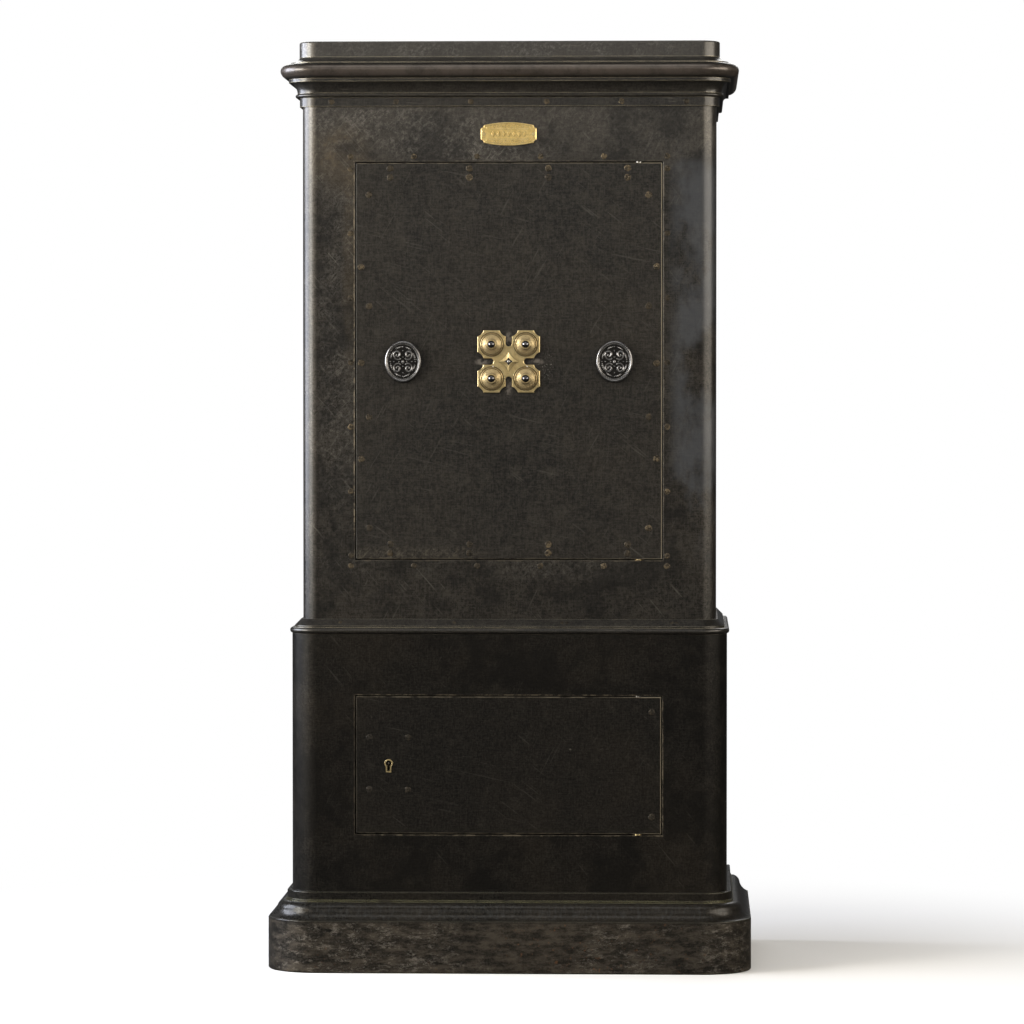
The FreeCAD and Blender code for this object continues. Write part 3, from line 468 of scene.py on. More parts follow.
def door_steel(name, lift, specular):
    """Door plate with fine scratches, old filler about the dials, worn edges and a painted highlight along
    its right edge.
    """
    s = Shader(name)
    colour, rough, height = steel_base(s, lift)
    upper = s.frame_line(0.2635, 0.7095, 1.391)
    lower = s.frame_line(0.2625, 0.237, 0.473)
    inside = s.math("MINIMUM", s.math("ABSOLUTE", upper), s.math("ABSOLUTE", lower))
    streaks = s.plus(scratches(s, 0.9, (1, 0, 3), 0.22 * lift), scratches(s, -0.5, (2, 0, 7), 0.18 * lift),
                     scratches(s, 1.35, (4, 0, 1), 0.18 * lift, 0.03))
    colour = s.mix(streaks, colour, (0.13, 0.122, 0.105))
    nicks = s.ramp(s.noise(75.0, 4.0, 0.7, move=(6, 0, 6)), 0.70, 0.76)
    colour = s.mix(s.times(nicks, 0.5), colour, (0.13, 0.118, 0.098))
    # pale wear at the foot of the door, old filler behind and beside the combination plate
    foot = s.times(s.band(s.z, 0.7095, 0.722, 0.015), scuffing(s, (1, 0, 1)), s.band(s.x, -0.25, -0.08, 0.06))
    colour = s.mix(s.times(foot, 0.4), colour, (0.15, 0.130, 0.098))
    filler = s.plus(s.spot(0.0, 1.090, 0.007, 0.016), s.spot(0.0, 1.004, 0.008, 0.020),
                    s.spot(-0.046, 1.049, 0.016, 0.007), s.spot(0.048, 1.049, 0.016, 0.007))
    filler = s.times(filler, s.ramp(s.noise(160.0, 4.0, 0.6), 0.34, 0.58))
    colour = s.mix(s.times(filler, 0.7), colour, (0.17, 0.150, 0.130))
    flecks = s.times(s.spot(0.066, 1.042, 0.014, 0.035), s.ramp(s.noise(420.0, 2.0), 0.60, 0.68))
    colour = s.mix(s.times(flecks, 0.7), colour, (0.24, 0.225, 0.20))
    lip = s.ramp(inside, 0.0004, 0.0020, 1.0, 0.0)
    ragged = s.ramp(s.noise(60.0, 5.0, 0.7, move=(2, 0, 2)), 0.36, 0.58)
    # the full line along the right edge is a painted highlight of the edge catching the light; the ragged
    # lines elsewhere are wear
    right = s.ramp(s.x, 0.20, 0.24)
    left = s.ramp(s.x, -0.2625, -0.2600, 0.15, 1.0)
    worn = s.math("MAXIMUM", s.times(ragged, left, 0.6), right)
    colour = s.mix(s.times(lip, worn, 0.8), colour, (0.26, 0.225, 0.165))
    rough = s.plus(rough, 0.04)
    height = s.plus(height, s.times(streaks, -0.2), s.times(nicks, -0.2))
    return s.finish(colour, 0.40, rough, height, 0.20, coat=0.25 * specular, coat_rough=0.2, rounding=0.7,
                    specular=specular)


def moulding_iron():
    s = Shader("blackened_moulding")
    colour, rough, height = steel_base(s)
    # edges are lighter: rubbed wear, and painted highlights on the fillets and beads
    rubbed = s.edge(2.2, 0.12)
    patchy = s.ramp(s.noise(30.0, 5.0, 0.6), 0.30, 0.62)
    # painted sheen: the rounded nose of the cornice is lighter and pinker, standing for light caught there
    fascia = s.band(s.z, 1.541, 1.555, 0.004)
    colour = s.mix(s.times(fascia, s.plus(0.35, s.times(patchy, 0.40))), colour, (0.108, 0.088, 0.074))
    colour = s.mix(s.times(rubbed, s.plus(0.35, s.times(patchy, 0.55))), colour, (0.33, 0.29, 0.20))
    streaks = scratches(s, 1.5, (3, 0, 5), 0.30)
    colour = s.mix(streaks, colour, (0.16, 0.145, 0.12))
    # the top of the cornice and the cap are lighter: scuffed wear, and an even painted sheen
    crown = s.ramp(s.z, 1.562, 1.575)
    top_wear_and_sheen = s.ramp(s.noise(14.0, 5.0, 0.65, move=(2, 0, 6)), 0.38, 0.62)
    top_wear_and_sheen = s.times(crown, s.plus(0.20, s.times(scuffing(s, (2, 0, 3)), top_wear_and_sheen, 0.60)))
    colour = s.mix(top_wear_and_sheen, colour, (0.120, 0.114, 0.104))
    rough = s.plus(rough, 0.02)
    return s.finish(colour, 0.50, rough, height, 0.20, coat=0.28, coat_rough=0.16)


def plinth_iron():
    s = Shader("blackened_plinth")
    colour, rough, height = steel_base(s, 0.6)
    block = s.band(s.z, 0.004, 0.084, 0.006)
    layered = s.ramp(s.noise(52.0, 9.0, 0.80, stretch=(0.45, 0.45, 1.3), warp=0.15), 0.42, 0.62)
    colour = s.mix(s.times(block, layered, 0.70), colour, (0.085, 0.072, 0.056))
    pale = s.ramp(s.noise(110.0, 9.0, 0.85, stretch=(0.5, 0.5, 1.2), move=(2, 1, 0)), 0.51, 0.62)
    broad = s.ramp(s.noise(6.0, 3.0, 0.5, move=(3, 3, 0)), 0.40, 0.58)
    colour = s.mix(s.times(block, pale, broad, 0.7), colour, (0.20, 0.18, 0.155))
    rust = s.times(s.ramp(s.noise(150.0, 5.0, 0.65, move=(7, 0, 1)), 0.60, 0.70),
                   s.ramp(s.noise(9.0, 3.0, 0.5), 0.42, 0.62))
    colour = s.mix(s.times(block, rust, 0.55), colour, RUST)
    runs = s.times(s.noise(190.0, 2.0, 0.5, stretch=(1, 1, 0.05)), s.band(s.z, 0.092, 0.118, 0.004))
    # edges are lighter: rubbed wear, and painted highlights on the beads and arrises
    rubbed = s.times(s.edge(2.2, 0.12), s.ramp(s.noise(26.0, 5.0, 0.65), 0.28, 0.55))
    colour = s.mix(s.times(rubbed, 0.65), colour, (0.26, 0.25, 0.13))
    colour = s.mix(s.ramp(runs, 0.50, 0.62, 0.0, 0.10), colour, (0.10, 0.105, 0.11))
    rough = s.plus(rough, s.times(block, 0.10), s.times(layered, 0.06), -0.06)
    height = s.plus(height, s.times(block, layered, 0.35))
    return s.finish(colour, 0.40, rough, height, 0.20, coat=0.10, coat_rough=0.12, specular=0.20)


def rivet_steel():
    s = Shader("rivet_heads")
    colour, rough, height = steel_base(s)
    worn = s.ramp(s.noise(150.0, 6.0, 0.78), 0.38, 0.60)
    faint = s.ramp(s.noise(16.0, 2.0, 0.5, move=(1, 0, 8)), 0.38, 0.62, 0.20, 0.90)
    low = s.ramp(s.z, 0.55, 0.70, 0.25, 1.0)
    faint = s.times(faint, low)
    colour = s.mix(s.times(worn, faint), colour, (0.125, 0.096, 0.058))
    bare = s.ramp(s.noise(210.0, 4.0, 0.7, move=(3, 0, 3)), 0.58, 0.66)
    colour = s.mix(s.times(bare, faint, 0.8), colour, (0.26, 0.215, 0.145))
    return s.finish(colour, 0.45, s.plus(rough, 0.14), s.plus(height, s.times(worn, 0.4)), 0.25, specular=0.2)


def frame_iron():
    s = Shader("hidden_iron")
    cloud = s.ramp(s.noise(5.0, 6.0, 0.6, warp=0.5), 0.35, 0.68)
    scale = s.ramp(s.noise(60.0, 7.0, 0.7), 0.50, 0.68)
    grain = s.noise(700.0, 2.0, 0.6)
    colour = s.mix(cloud, (0.036, 0.033, 0.030), (0.060, 0.050, 0.040))
    colour = s.mix(s.times(scale, 0.5), colour, (0.11, 0.070, 0.042))
    rubbed = s.times(s.edge(1.5, 0.12), s.ramp(s.noise(30.0, 4.0), 0.35, 0.6))
    colour = s.mix(s.times(rubbed, 0.7), colour, (0.27, 0.25, 0.22))
    rough = s.plus(0.46, s.times(cloud, 0.12), s.times(scale, 0.12))
    height = s.plus(s.times(grain, 0.2), s.times(scale, 0.3), s.times(s.noise(12.0, 2.0), 1.0))
    return s.finish(colour, 0.6, rough, height, 0.2, rounding=0.6)


def lining_paint():
    s = Shader("oxide_lining")
    cloud = s.ramp(s.noise(4.0, 5.0, 0.6), 0.35, 0.68)
    brush = s.noise(120.0, 3.0, 0.6, stretch=(0.1, 0.1, 2.0))
    chipped = s.ramp(s.noise(45.0, 8.0, 0.72, warp=0.6), 0.66, 0.70)
    colour = s.mix(cloud, (0.17, 0.042, 0.022), (0.23, 0.065, 0.034))
    colour = s.mix(s.ramp(brush, 0.35, 0.68, 0.0, 0.4), colour, (0.13, 0.034, 0.020))
    colour = s.mix(s.times(chipped, 0.8), colour, (0.075, 0.066, 0.060))
    worn = s.times(s.edge(1.6, 0.12), s.ramp(s.noise(40.0, 4.0), 0.36, 0.60))
    colour = s.mix(s.times(worn, 0.8), colour, (0.20, 0.18, 0.16))
    rough = s.plus(0.46, s.times(cloud, 0.12), s.times(chipped, 0.1))
    height = s.plus(s.times(brush, 0.35), s.times(chipped, -0.5), s.times(s.noise(600.0, 2.0), 0.12))
    return s.finish(colour, 0.0, rough, height, 0.18, rounding=0.6)


def fill_plaster():
    s = Shader("packed_fill")
    lumps = s.noise(55.0, 8.0, 0.75)
    grit = s.noise(480.0, 3.0, 0.7)
    colour = s.mix(s.ramp(lumps, 0.35, 0.65), (0.36, 0.31, 0.24), (0.52, 0.47, 0.39))
    colour = s.mix(s.ramp(grit, 0.58, 0.70, 0.0, 0.6), colour, (0.22, 0.18, 0.13))
    height = s.plus(lumps, s.times(grit, 0.3))
    return s.finish(colour, 0.0, s.plus(0.82, s.times(grit, 0.1)), height, 0.8)


def machined_steel(name, light, dark, rough, turn=0.0):
    s = Shader(name)
    cloud = s.ramp(s.noise(30.0, 5.0, 0.6, warp=0.4), 0.35, 0.68)
    lines = s.noise(900.0, 2.0, 0.5, stretch=(1, 0.06, 0.2), turn=turn)
    stain = s.ramp(s.noise(90.0, 6.0, 0.7), 0.56, 0.72)
    colour = s.mix(cloud, light, dark)
    colour = s.mix(s.times(stain, 0.6), colour, (0.11, 0.085, 0.060))
    bright = s.edge(0.8, 0.12)
    colour = s.mix(s.times(bright, 0.6), colour, (0.58, 0.56, 0.52))
    values = s.plus(rough, s.times(cloud, 0.08), s.times(lines, 0.08), s.times(stain, 0.15))
    height = s.plus(s.times(lines, 0.5), s.times(stain, -0.2))
    return s.finish(colour, 1.0, values, height, 0.05, rounding=0.3)


def medallion_steel():
    s = Shader("polished_medallion")
    cloud = s.ramp(s.noise(40.0, 5.0, 0.6, warp=0.4), 0.35, 0.68)
    grain = s.noise(900.0, 3.0, 0.6)
    hollow = s.ramp(s.y, -0.2113, -0.2103)
    colour = s.mix(cloud, (0.26, 0.255, 0.255), (0.17, 0.165, 0.16))
    colour = s.mix(s.times(hollow, 0.96), colour, (0.008, 0.0075, 0.007))
    rub = s.edge(0.8, 0.10)
    colour = s.mix(s.times(rub, 0.8), colour, (0.60, 0.585, 0.56))
    rough = s.plus(0.22, s.times(cloud, 0.08), s.times(hollow, 0.28), s.times(grain, 0.06))
    height = s.plus(s.times(grain, 0.3), s.noise(160.0, 2.0))
    return s.finish(colour, 0.95, rough, height, 0.06, specular=0.2)


def brass(name, light, dark, corner_darkening, rough, scale=60.0):
    """Old brass, with dirt and painted shade in the corners, and painted shade in dark rings about each dial:
    in its grooves and round its foot.
    """
    s = Shader(name)
    cloud = s.ramp(s.noise(scale, 5.0, 0.6, warp=0.5), 0.35, 0.66)
    brushed = s.noise(700.0, 2.0, 0.5, stretch=(0.15, 1, 1.6))
    tarnish = s.ramp(s.noise(scale * 2.2, 6.0, 0.7), 0.52, 0.70)
    # painted shade: dark rings about each dial's centre, in the dial's grooves and round its foot on the
    # plate
    across = s.plus(s.math("ABSOLUTE", s.x), -DIAL_STEP * MM)
    upward = s.plus(s.math("ABSOLUTE", s.plus(s.z, -LOCK_Z * MM)), -DIAL_STEP * MM)
    radius = s.math("SQRT", s.plus(s.times(across, across), s.times(upward, upward)))
    ring = s.math("MAXIMUM", s.band(radius, 0.0169, 0.0181, 0.0003), s.band(radius, 0.0198, 0.0212, 0.0003))
    ring = s.math("MAXIMUM", ring, s.band(radius, 0.0088, 0.0101, 0.0003))
    # darkening from ambient occlusion in corners and crevices: dirt plus painted shade
    deep = s.node("AmbientOcclusion", {"Distance": 0.004}, samples=4).outputs["AO"]
    corner_dark = s.ramp(deep, 0.45, 0.95, 1.0, 0.0)
    colour = s.mix(cloud, light, dark)
    colour = s.mix(s.times(tarnish, 0.45), colour, (0.30, 0.19, 0.085))
    colour = s.mix(s.times(corner_dark, corner_darkening), colour, (0.070, 0.045, 0.020))
    colour = s.mix(s.times(ring, 0.85), colour, (0.040, 0.027, 0.012))
    bright = s.edge(0.7, 0.10)
    colour = s.mix(s.times(bright, 0.6), colour, (0.98, 0.82, 0.50))
    values = s.plus(rough, s.times(cloud, 0.07), s.times(tarnish, 0.12), s.times(corner_dark, 0.25))
    height = s.plus(s.times(brushed, 0.3), s.times(s.noise(220.0, 3.0), 0.5))
    return s.finish(colour, 1.0, values, height, 0.05, rounding=0.35)


# ------------------------------------------------------------------ materials
# The cabinet and its door get darker copies of the chest and door steel, with less pale wear and less shine:
# painted shade on the lower half of the safe.
casing_look = casing_steel("blackened_chest", 1.45, 0.40, 1.0, 0.25)
cabinet_shaded_look = casing_steel("cabinet_steel_painted_shade", 0.55, 0.16, 0.25, 0.55)
door_look = door_steel("blackened_main_door", 1.0, 0.40)
cabinet_door_shaded_look = door_steel("cabinet_door_steel_painted_shade", 0.52, 0.16)
moulding_look = moulding_iron()
plinth_look = plinth_iron()
rivet_look = rivet_steel()
iron_look = frame_iron()
lining_look = lining_paint()
fill_look = fill_plaster()
bright_look = machined_steel("bright_steel", (0.42, 0.41, 0.39), (0.30, 0.29, 0.27), 0.24)
dark_look = machined_steel("dark_bright_steel", (0.13, 0.13, 0.135), (0.085, 0.085, 0.09), 0.12)
lock_look = machined_steel("lock_steel", (0.13, 0.12, 0.105), (0.07, 0.062, 0.054), 0.42, 0.6)
medallion_look = medallion_steel()
brass_look = brass("old_brass", (0.74, 0.60, 0.31), (0.58, 0.45, 0.215), 0.95, 0.34)
dial_look = brass("turned_brass", (0.50, 0.39, 0.205), (0.37, 0.28, 0.14), 0.95, 0.42)
plate_look = brass("gilt_brass", (0.86, 0.66, 0.27), (0.72, 0.53, 0.19), 0.95, 0.38, 110.0)

paint(["chest_back", "base_back", "base_top_plate", "bottom_plate", "base_door_frame", "chest_door_frame",
       "door_box", "door_rear_cover"], iron_look)
paint(["door_plate"], door_look)
paint(["lower_door_plate"], cabinet_door_shaded_look)
paint(["inner_box", "lower_shelf", "upper_shelf", "shelf_brackets", "base_floor"], lining_look)
paint(["fireproof_fill", "door_fill"], fill_look)
paint(["ledge_screws"], rivet_look)
paint(["door_bolts", "pivot_pins", "rear_cover_screws", "crank_spindle", "cover_studs",
       "combination_pin"], bright_look)
paint(["dial_arbor_%d" % i for i in range(1, 5)], dark_look)
paint(["bolt_bar", "key_lock_case", "key_lock_bolt", "lower_lock_case", "lower_lock_bolt", "spindle_bearing"],
      lock_look)
paint(["combination_plate", "combination_case", "key_bush", "crank_bush", "name_plate_screws",
       "lower_keyhole_ring", "key_lock_levers", "lower_lock_levers", "pivot_washers"], brass_look)
paint(["name_plate"], plate_look)


# ------------------------------------------------------------------ mouldings and casings
plinth_section = profile((BASE_HALF, 0.0), [
    (416.0, 0.0), (418.0, 2.0), (418.0, 88.0), (417.27, 89.77, 415.5, 90.5), (408.0, 96.0, 403.0, 105.0),
    (398.6, 114.6, 390.5, 119.0), (387.0, 119.0), (387.0, 121.5), (385.0, 122.5), (385.0, 134.5),
    (384.3, 136.4, 382.5, 137.0), (BASE_HALF, 137.0)], 10)
sweep("plinth", plinth_section, plinth_look, "carcass", ["plinth_moulding"])

ledge_section = profile((370.0, BASE_TOP), [
    (375.5, BASE_TOP), (380.0, 586.0, 375.5, 591.0), (371.5, 591.0), (371.5, 594.5),
    (360.0, 606.0), (CHEST_HALF, 606.0), (CHEST_HALF, CHEST_BOTTOM), (370.0, CHEST_BOTTOM)], 10)
sweep("ledge", ledge_section, moulding_look, "carcass", ["ledge_moulding"], 0.5)

frieze_section = profile((CHEST_HALF, FRIEZE_LOW), [
    (362.0, FRIEZE_LOW), (362.0, FRIEZE_HIGH), (CHEST_HALF, FRIEZE_HIGH)])
sweep("frieze", frieze_section, moulding_look, "carcass", ["frieze_band"])

cornice_section = profile((CHEST_HALF, FRIEZE_HIGH), [
    (366.0, FRIEZE_HIGH), (369.5, 1507.2, 366.0, 1510.5), (366.0, 1511.5), (368.8, 1522.0, 375.5, 1530.0),
    (381.0, 1530.0), (381.0, 1536.0), (391.2, 1541.0, 395.5, 1549.5), (392.8, 1557.0, 385.5, 1561.5),
    (377.5, 1562.0), (377.5, 1564.5), (368.5, 1567.0, CAP_HALF, CHEST_TOP),
    (CHEST_HALF, CHEST_TOP)], 10)
sweep("cornice", cornice_section, moulding_look, "carcass", ["cornice_moulding"], 0.5)

cap_levels = [(CAP_HALF, BACK, CHEST_TOP), (CAP_HALF, BACK, CAP_SHOULDER)]
for step in range(1, 7):
    turn = step / 6 * math.pi / 2
    inset = CAP_ROUND * (1 - math.cos(turn))
    cap_levels.append((CAP_HALF - inset, BACK - inset, CAP_SHOULDER + CAP_ROUND * math.sin(turn)))
stacked("top_block", cap_levels, moulding_look, "carcass", ["top_cap"])

casing("chest_shell", CHEST_HALF, CHEST_BOTTOM, CHEST_TOP, (265.5, 707.5, 1393.0), casing_look,
       ["chest_casing"])
casing("base_shell", BASE_HALF, 10.0, BASE_TOP, (264.5, 235.0, 475.0), cabinet_shaded_look, ["base_casing"])


# ------------------------------------------------------------------ rivets
def worn_head(x, z, front, radius, seed):
    """Filed rivet: an irregular, very low dome let into the plate."""
    rings = 5
    spokes = 26
    verts = []
    faces = []
    for ring in range(rings + 1):
        reach = ring / rings
        for k in range(spokes):
            a = 2 * math.pi * k / spokes
            wobble = noise.noise(Vector((math.cos(a) * 1.3, math.sin(a) * 1.3, seed * 3.7)))
            r = radius * reach * (1 + 0.20 * wobble)
            rise = 0.32 * (1 - reach ** 2) ** 0.7 + 0.03
            verts.append((x + r * math.cos(a), front - rise, z + r * math.sin(a)))
    for k in range(spokes):
        px, _, pz = verts[rings * spokes + k]
        verts.append((px, front + 0.6, pz))
    for ring in range(rings + 1):
        for k in range(spokes):
            m = (k + 1) % spokes
            a, b = ring * spokes, (ring + 1) * spokes
            faces.append((a + k, a + m, b + m, b + k))
    faces.append(tuple((rings + 1) * spokes + k for k in range(spokes)))
    return verts, faces


def rivet_group(name, places, body, node):
    verts, faces = gather([worn_head(x, z, front, radius, seed)
                           for seed, (x, z, front, radius) in enumerate(places)])
    make_piece(name, verts, faces, rivet_look, body, [node])


sides = (-1, 1)
frame_places = [(s * 272.5, 1381.0 - 111.0 * row) for s in sides for row in range(7)]
frame_places += [(-272.5 + 109.0 * i, z) for z in (1402.0, 697.5) for i in range(6)]
frame_places = [(x, z, CHEST_FRONT, 5.2) for x, z in frame_places]
frame_places += [(s * x, 1496.0, FRONT_OFFSET - 362.0, 5.0) for s in sides for x in (65.0, 194.0, 305.0)]
rivet_group("frame_rivets", frame_places, "carcass", "casing_rivets")
door_places = [(s * 240.7, z) for s in sides for z in (1336.0, 1145.0, 954.0, 763.0)]
door_places += [(s * 254.5, z) for s in sides for z in (1212.0, 1047.0, 882.0)]
door_places += [(s * x, z) for s in sides for x in (68.0, 204.5) for z in (1366.0, 734.5, 1381.5, 719.5)]
rivet_group("main_door_rivets", [(x, z, CHEST_FRONT, 5.8) for x, z in door_places], "main_door",
            "door_rivets")
low_places = [(-206.4 + s * 33.4, 357.8 + t * 45.0) for s in sides for t in sides]
low_places += [(246.5, 266.6), (246.5, 447.0)]
rivet_group("cabinet_door_rivets", [(x, z, BASE_FRONT, 5.5) for x, z in low_places], "lower_door",
            "lower_door_rivets")


# ------------------------------------------------------------------ combination dials
def knob_section():
    """Section of a dial as (radius, rise): flange, grooved cone, neck and bored end."""
    section = [(4.1, 0.0), (19.2, 0.0), (19.4, 0.2), (19.4, 1.3), (19.2, 1.7), (18.6, 2.2), (18.3, 2.3),
               (17.6, 2.3), (17.4, 2.1), (17.4, 1.5), (16.7, 1.5), (16.6, 1.7), (16.6, 2.9), (16.4, 3.2)]
    cone = arc_through((16.4, 3.2), (12.2, 5.6), (9.4, 9.6), 54)
    for i, (radius, rise) in enumerate(cone):
        groove = 0.16 if i % 6 in (2, 3) else 0.0
        if i % 18 == 9:
            groove = 0.40
        section.append((radius - groove, rise - groove * 0.8))
    section += [(8.9, 9.75), (8.7, 10.0), (8.7, 11.9), (8.6, 12.3), (8.3, 12.8), (7.5, 13.1), (6.6, 13.1),
                (6.35, 12.9), (6.3, 12.4), (6.3, 10.7), (4.1, 10.6)]
    return section


dial_places = [(col * DIAL_STEP, LOCK_Z + row * DIAL_STEP) for row in (1, -1) for col in (-1, 1)]
for index, (x, z) in enumerate(dial_places, start=1):
    section = knob_section()
    verts, faces = lathe(section, x, z, CHEST_FRONT - 4.3, KNOB_SPOKES)
    # the two end caps give way to the bore between them
    bore = (len(section) - 1) * KNOB_SPOKES
    faces = faces[:-2] + [(bore + k, bore + (k + 1) % KNOB_SPOKES, (k + 1) % KNOB_SPOKES, k)
                          for k in range(KNOB_SPOKES)]
    knob = make_piece("dial_%d" % index, verts, faces, dial_look, "dial_%d" % index,
                      ["dial_knob_%d" % index])
    knob.data.set_sharp_from_angle(angle=math.radians(34))


def star_ring(scale, y):
    """Four-pointed star between the dials, as points at one level; its sides are arcs about the dials."""
    arc = 31.9
    tip = DIAL_STEP - math.sqrt(arc ** 2 - DIAL_STEP ** 2)
    start = math.atan2(-DIAL_STEP, tip - DIAL_STEP)
    end = math.atan2(tip - DIAL_STEP, -DIAL_STEP)
    side = []
    for i in range(16):
        a = start + ((end - start) % (2 * math.pi) - 2 * math.pi) * i / 16
        side.append((DIAL_STEP + arc * math.cos(a), DIAL_STEP + arc * math.sin(a)))
    points = []
    for quarter in range(4):
        turn = quarter * math.pi / 2
        points += [(px * math.cos(turn) - pz * math.sin(turn), px * math.sin(turn) + pz * math.cos(turn))
                   for px, pz in side]
    return [(px * scale, y, LOCK_Z + pz * scale) for px, pz in points]


def star_relief(levels):
    """Open-backed star from rings of (scale, y), closed at the front."""
    verts = [point for scale, y in levels for point in star_ring(scale, y)]
    count = len(verts) // len(levels)
    faces = []
    for i in range(len(levels) - 1):
        for k in range(count):
            m = (k + 1) % count
            faces.append((i * count + k, i * count + m, (i + 1) * count + m, (i + 1) * count + k))
    faces.append(tuple(range((len(levels) - 1) * count, len(levels) * count)))
    return verts, faces


star_front = CHEST_FRONT - 5.4
verts, faces = star_relief([(1.0, star_front + 0.2), (0.98, star_front - 0.1), (0.50, star_front - 1.5),
                            (0.44, star_front - 1.5), (0.42, star_front - 1.2)])
make_piece("combination_star", verts, faces, brass_look, "main_door", smooth=False)
verts, faces = star_relief([(0.43, star_front - 1.1), (0.41, star_front - 1.25)])
make_piece("star_recess", verts, faces, dark_look, "main_door", smooth=False)

marks = []
for x, z in dial_places[2:]:
    marks.append(lathe([(0.01, 1.15), (0.7, 1.1), (1.0, 0.9), (1.05, 0.0)], x + 2.4, z + 21.0,
                       CHEST_FRONT - 4.0, 16))
verts, faces = gather(marks)
enamel = Shader("index_enamel")
speck = enamel.noise(1500.0, 3.0)
enamel_look = enamel.finish(enamel.mix(speck, (0.85, 0.83, 0.78), (0.62, 0.58, 0.50)), 0.0,
                            enamel.plus(0.3, enamel.times(speck, 0.2)), speck, 0.05)
make_piece("index_marks", verts, faces, enamel_look, "main_door")


# ------------------------------------------------------------------ keyhole covers
def spiral(cx, cz, reach, start, hand):
    """Curl that winds in to its centre, in millimetres."""
    turns = 1.35
    steps = 60
    points = []
    for i in range(steps + 1):
        t = i / steps
        a = start + hand * 2 * math.pi * turns * t
        r = reach * (1 - 0.80 * t)
        points.append((cx + r * math.cos(a), cz + r * 1.12 * math.sin(a)))
    return points


def relief(u, v, strands):
    """Height of the scrollwork above the recess floor at (u, v)."""
    best = 0.0
    for points, thick in strands:
        total = len(points)
        nearest = 1e9
        at = 0
        for i in range(0, total, 4):
            d = (points[i][0] - u) ** 2 + (points[i][1] - v) ** 2
            if d < nearest:
                nearest, at = d, i
        for i in range(max(0, at - 4), min(total, at + 5)):
            d = (points[i][0] - u) ** 2 + (points[i][1] - v) ** 2
            if d < nearest:
                nearest, at = d, i
        along = abs(at / (total - 1) * 2 - 1)
        width = thick * (1.0 - 0.35 * along)
        d = math.sqrt(nearest)
        if d < width:
            lift = 0.75 + 0.25 * math.cos(at / total * math.pi * 6)
            best = max(best, width * math.sqrt(1 - (d / width) ** 2) * lift)
    return best


def ellipse_run(wide, tall, start, end):
    """Points along part of an oval, angles in degrees."""
    steps = 24
    angles = [math.radians(start + (end - start) * i / steps) for i in range(steps + 1)]
    return [(wide * math.cos(a), tall * math.sin(a)) for a in angles]


def scrollwork():
    """Foliage: four curls about a rosette, leaves along the rim and beads: (line, half width)."""
    strands = [([(0.0, -0.6), (0.0, 0.6)], 3.4)]
    for sx in (-1, 1):
        for sz in (-1, 1):
            inward = math.atan2(-sz * 11.6, -sx * 9.4)
            strands.append((spiral(sx * 9.4, sz * 11.6, 7.8, inward, sx * sz), 1.75))
    for start in (8, 52, 98, 142, 188, 232, 278, 322):
        strands.append((ellipse_run(21.3, 25.4, start, start + 24), 1.5))
    for cx, cz in ((0.0, 8.0), (0.0, -8.0), (6.6, 0.0), (-6.6, 0.0), (0.0, 19.0), (0.0, -19.0), (15.5, 0.0),
                   (-15.5, 0.0), (21.6, 0.0), (-21.6, 0.0), (0.0, 25.6), (0.0, -25.6)):
        strands.append(([(cx, cz), (cx, cz + 0.1)], 1.7))
    return strands


def cover(name, x, node):
    """Oval cover: a turned rim round a recess that holds the scrollwork."""
    strands = scrollwork()
    rear = CHEST_FRONT - 0.3
    rim = [(1.0, 0.0), (1.0, 5.0), (0.999, 6.2), (0.993, 7.4), (0.981, 8.5), (0.965, 9.3), (0.945, 9.8),
           (0.922, 10.0), (0.899, 9.9), (0.880, 9.5), (0.868, 8.9), (0.862, 8.5), (0.855, 8.35), (0.848, 8.7),
           (0.838, 8.95), (0.828, 8.7), (0.820, 8.2), (0.815, 7.9)]
    rings = rim + [(0.81 * (1 - i / 62), None) for i in range(62)]
    spokes = 280
    verts = []
    for reach, rise in rings:
        for k in range(spokes):
            a = 2 * math.pi * k / spokes
            u = COVER_WIDE * reach * math.cos(a)
            v = COVER_TALL * reach * math.sin(a)
            if rise is None:
                up = RECESS_RISE + min(relief(u, v, strands), 2.1)
            else:
                rope = 0.35 * math.cos(a * 56) if 0.82 < reach < 0.85 else 0.0
                up = min(rise + rope, 10.0)
            verts.append((x + u, rear - up, LOCK_Z + v))
    verts.append((x, rear - RECESS_RISE - min(relief(0.0, 0.0, strands), 2.1), LOCK_Z))
    faces = []
    total = len(rings)
    for i in range(total - 1):
        for k in range(spokes):
            m = (k + 1) % spokes
            faces.append((i * spokes + k, i * spokes + m, (i + 1) * spokes + m, (i + 1) * spokes + k))
    centre = total * spokes
    inner = centre - spokes
    faces += [(inner + k, inner + (k + 1) % spokes, centre) for k in range(spokes)]
    faces.append(tuple(range(spokes)))
    piece = make_piece(name, verts, faces, medallion_look, node, [node])
    piece.data.set_sharp_from_angle(angle=math.radians(60))


cover("left_medallion", -KEY_X, "key_cover")
cover("right_medallion", KEY_X, "crank_cover")


# ------------------------------------------------------------------ name plate ornament
def plate_edge(inset):
    """Outline of the name plate in (x, z), drawn in by inset."""
    long = 48.0 - inset
    flat = 15.0 - inset
    notch = 5.0 + inset * 0.4
    corner = notch * 0.7
    z = PLATE_Z
    steps = [(-long, z + flat - notch),
             (-long + corner, z + flat - corner, -long + notch, z + flat),
             (0.0, z + flat + 5.0, long - notch, z + flat),
             (long - corner, z + flat - corner, long, z + flat - notch),
             (long, z - flat + notch),
             (long - corner, z - flat + corner, long - notch, z - flat),
             (0.0, z - flat - 5.0, -long + notch, z - flat),
             (-long + corner, z - flat + corner, -long, z - flat + notch)]
    return profile((-long, z - flat + notch), steps, 12)[:-1]


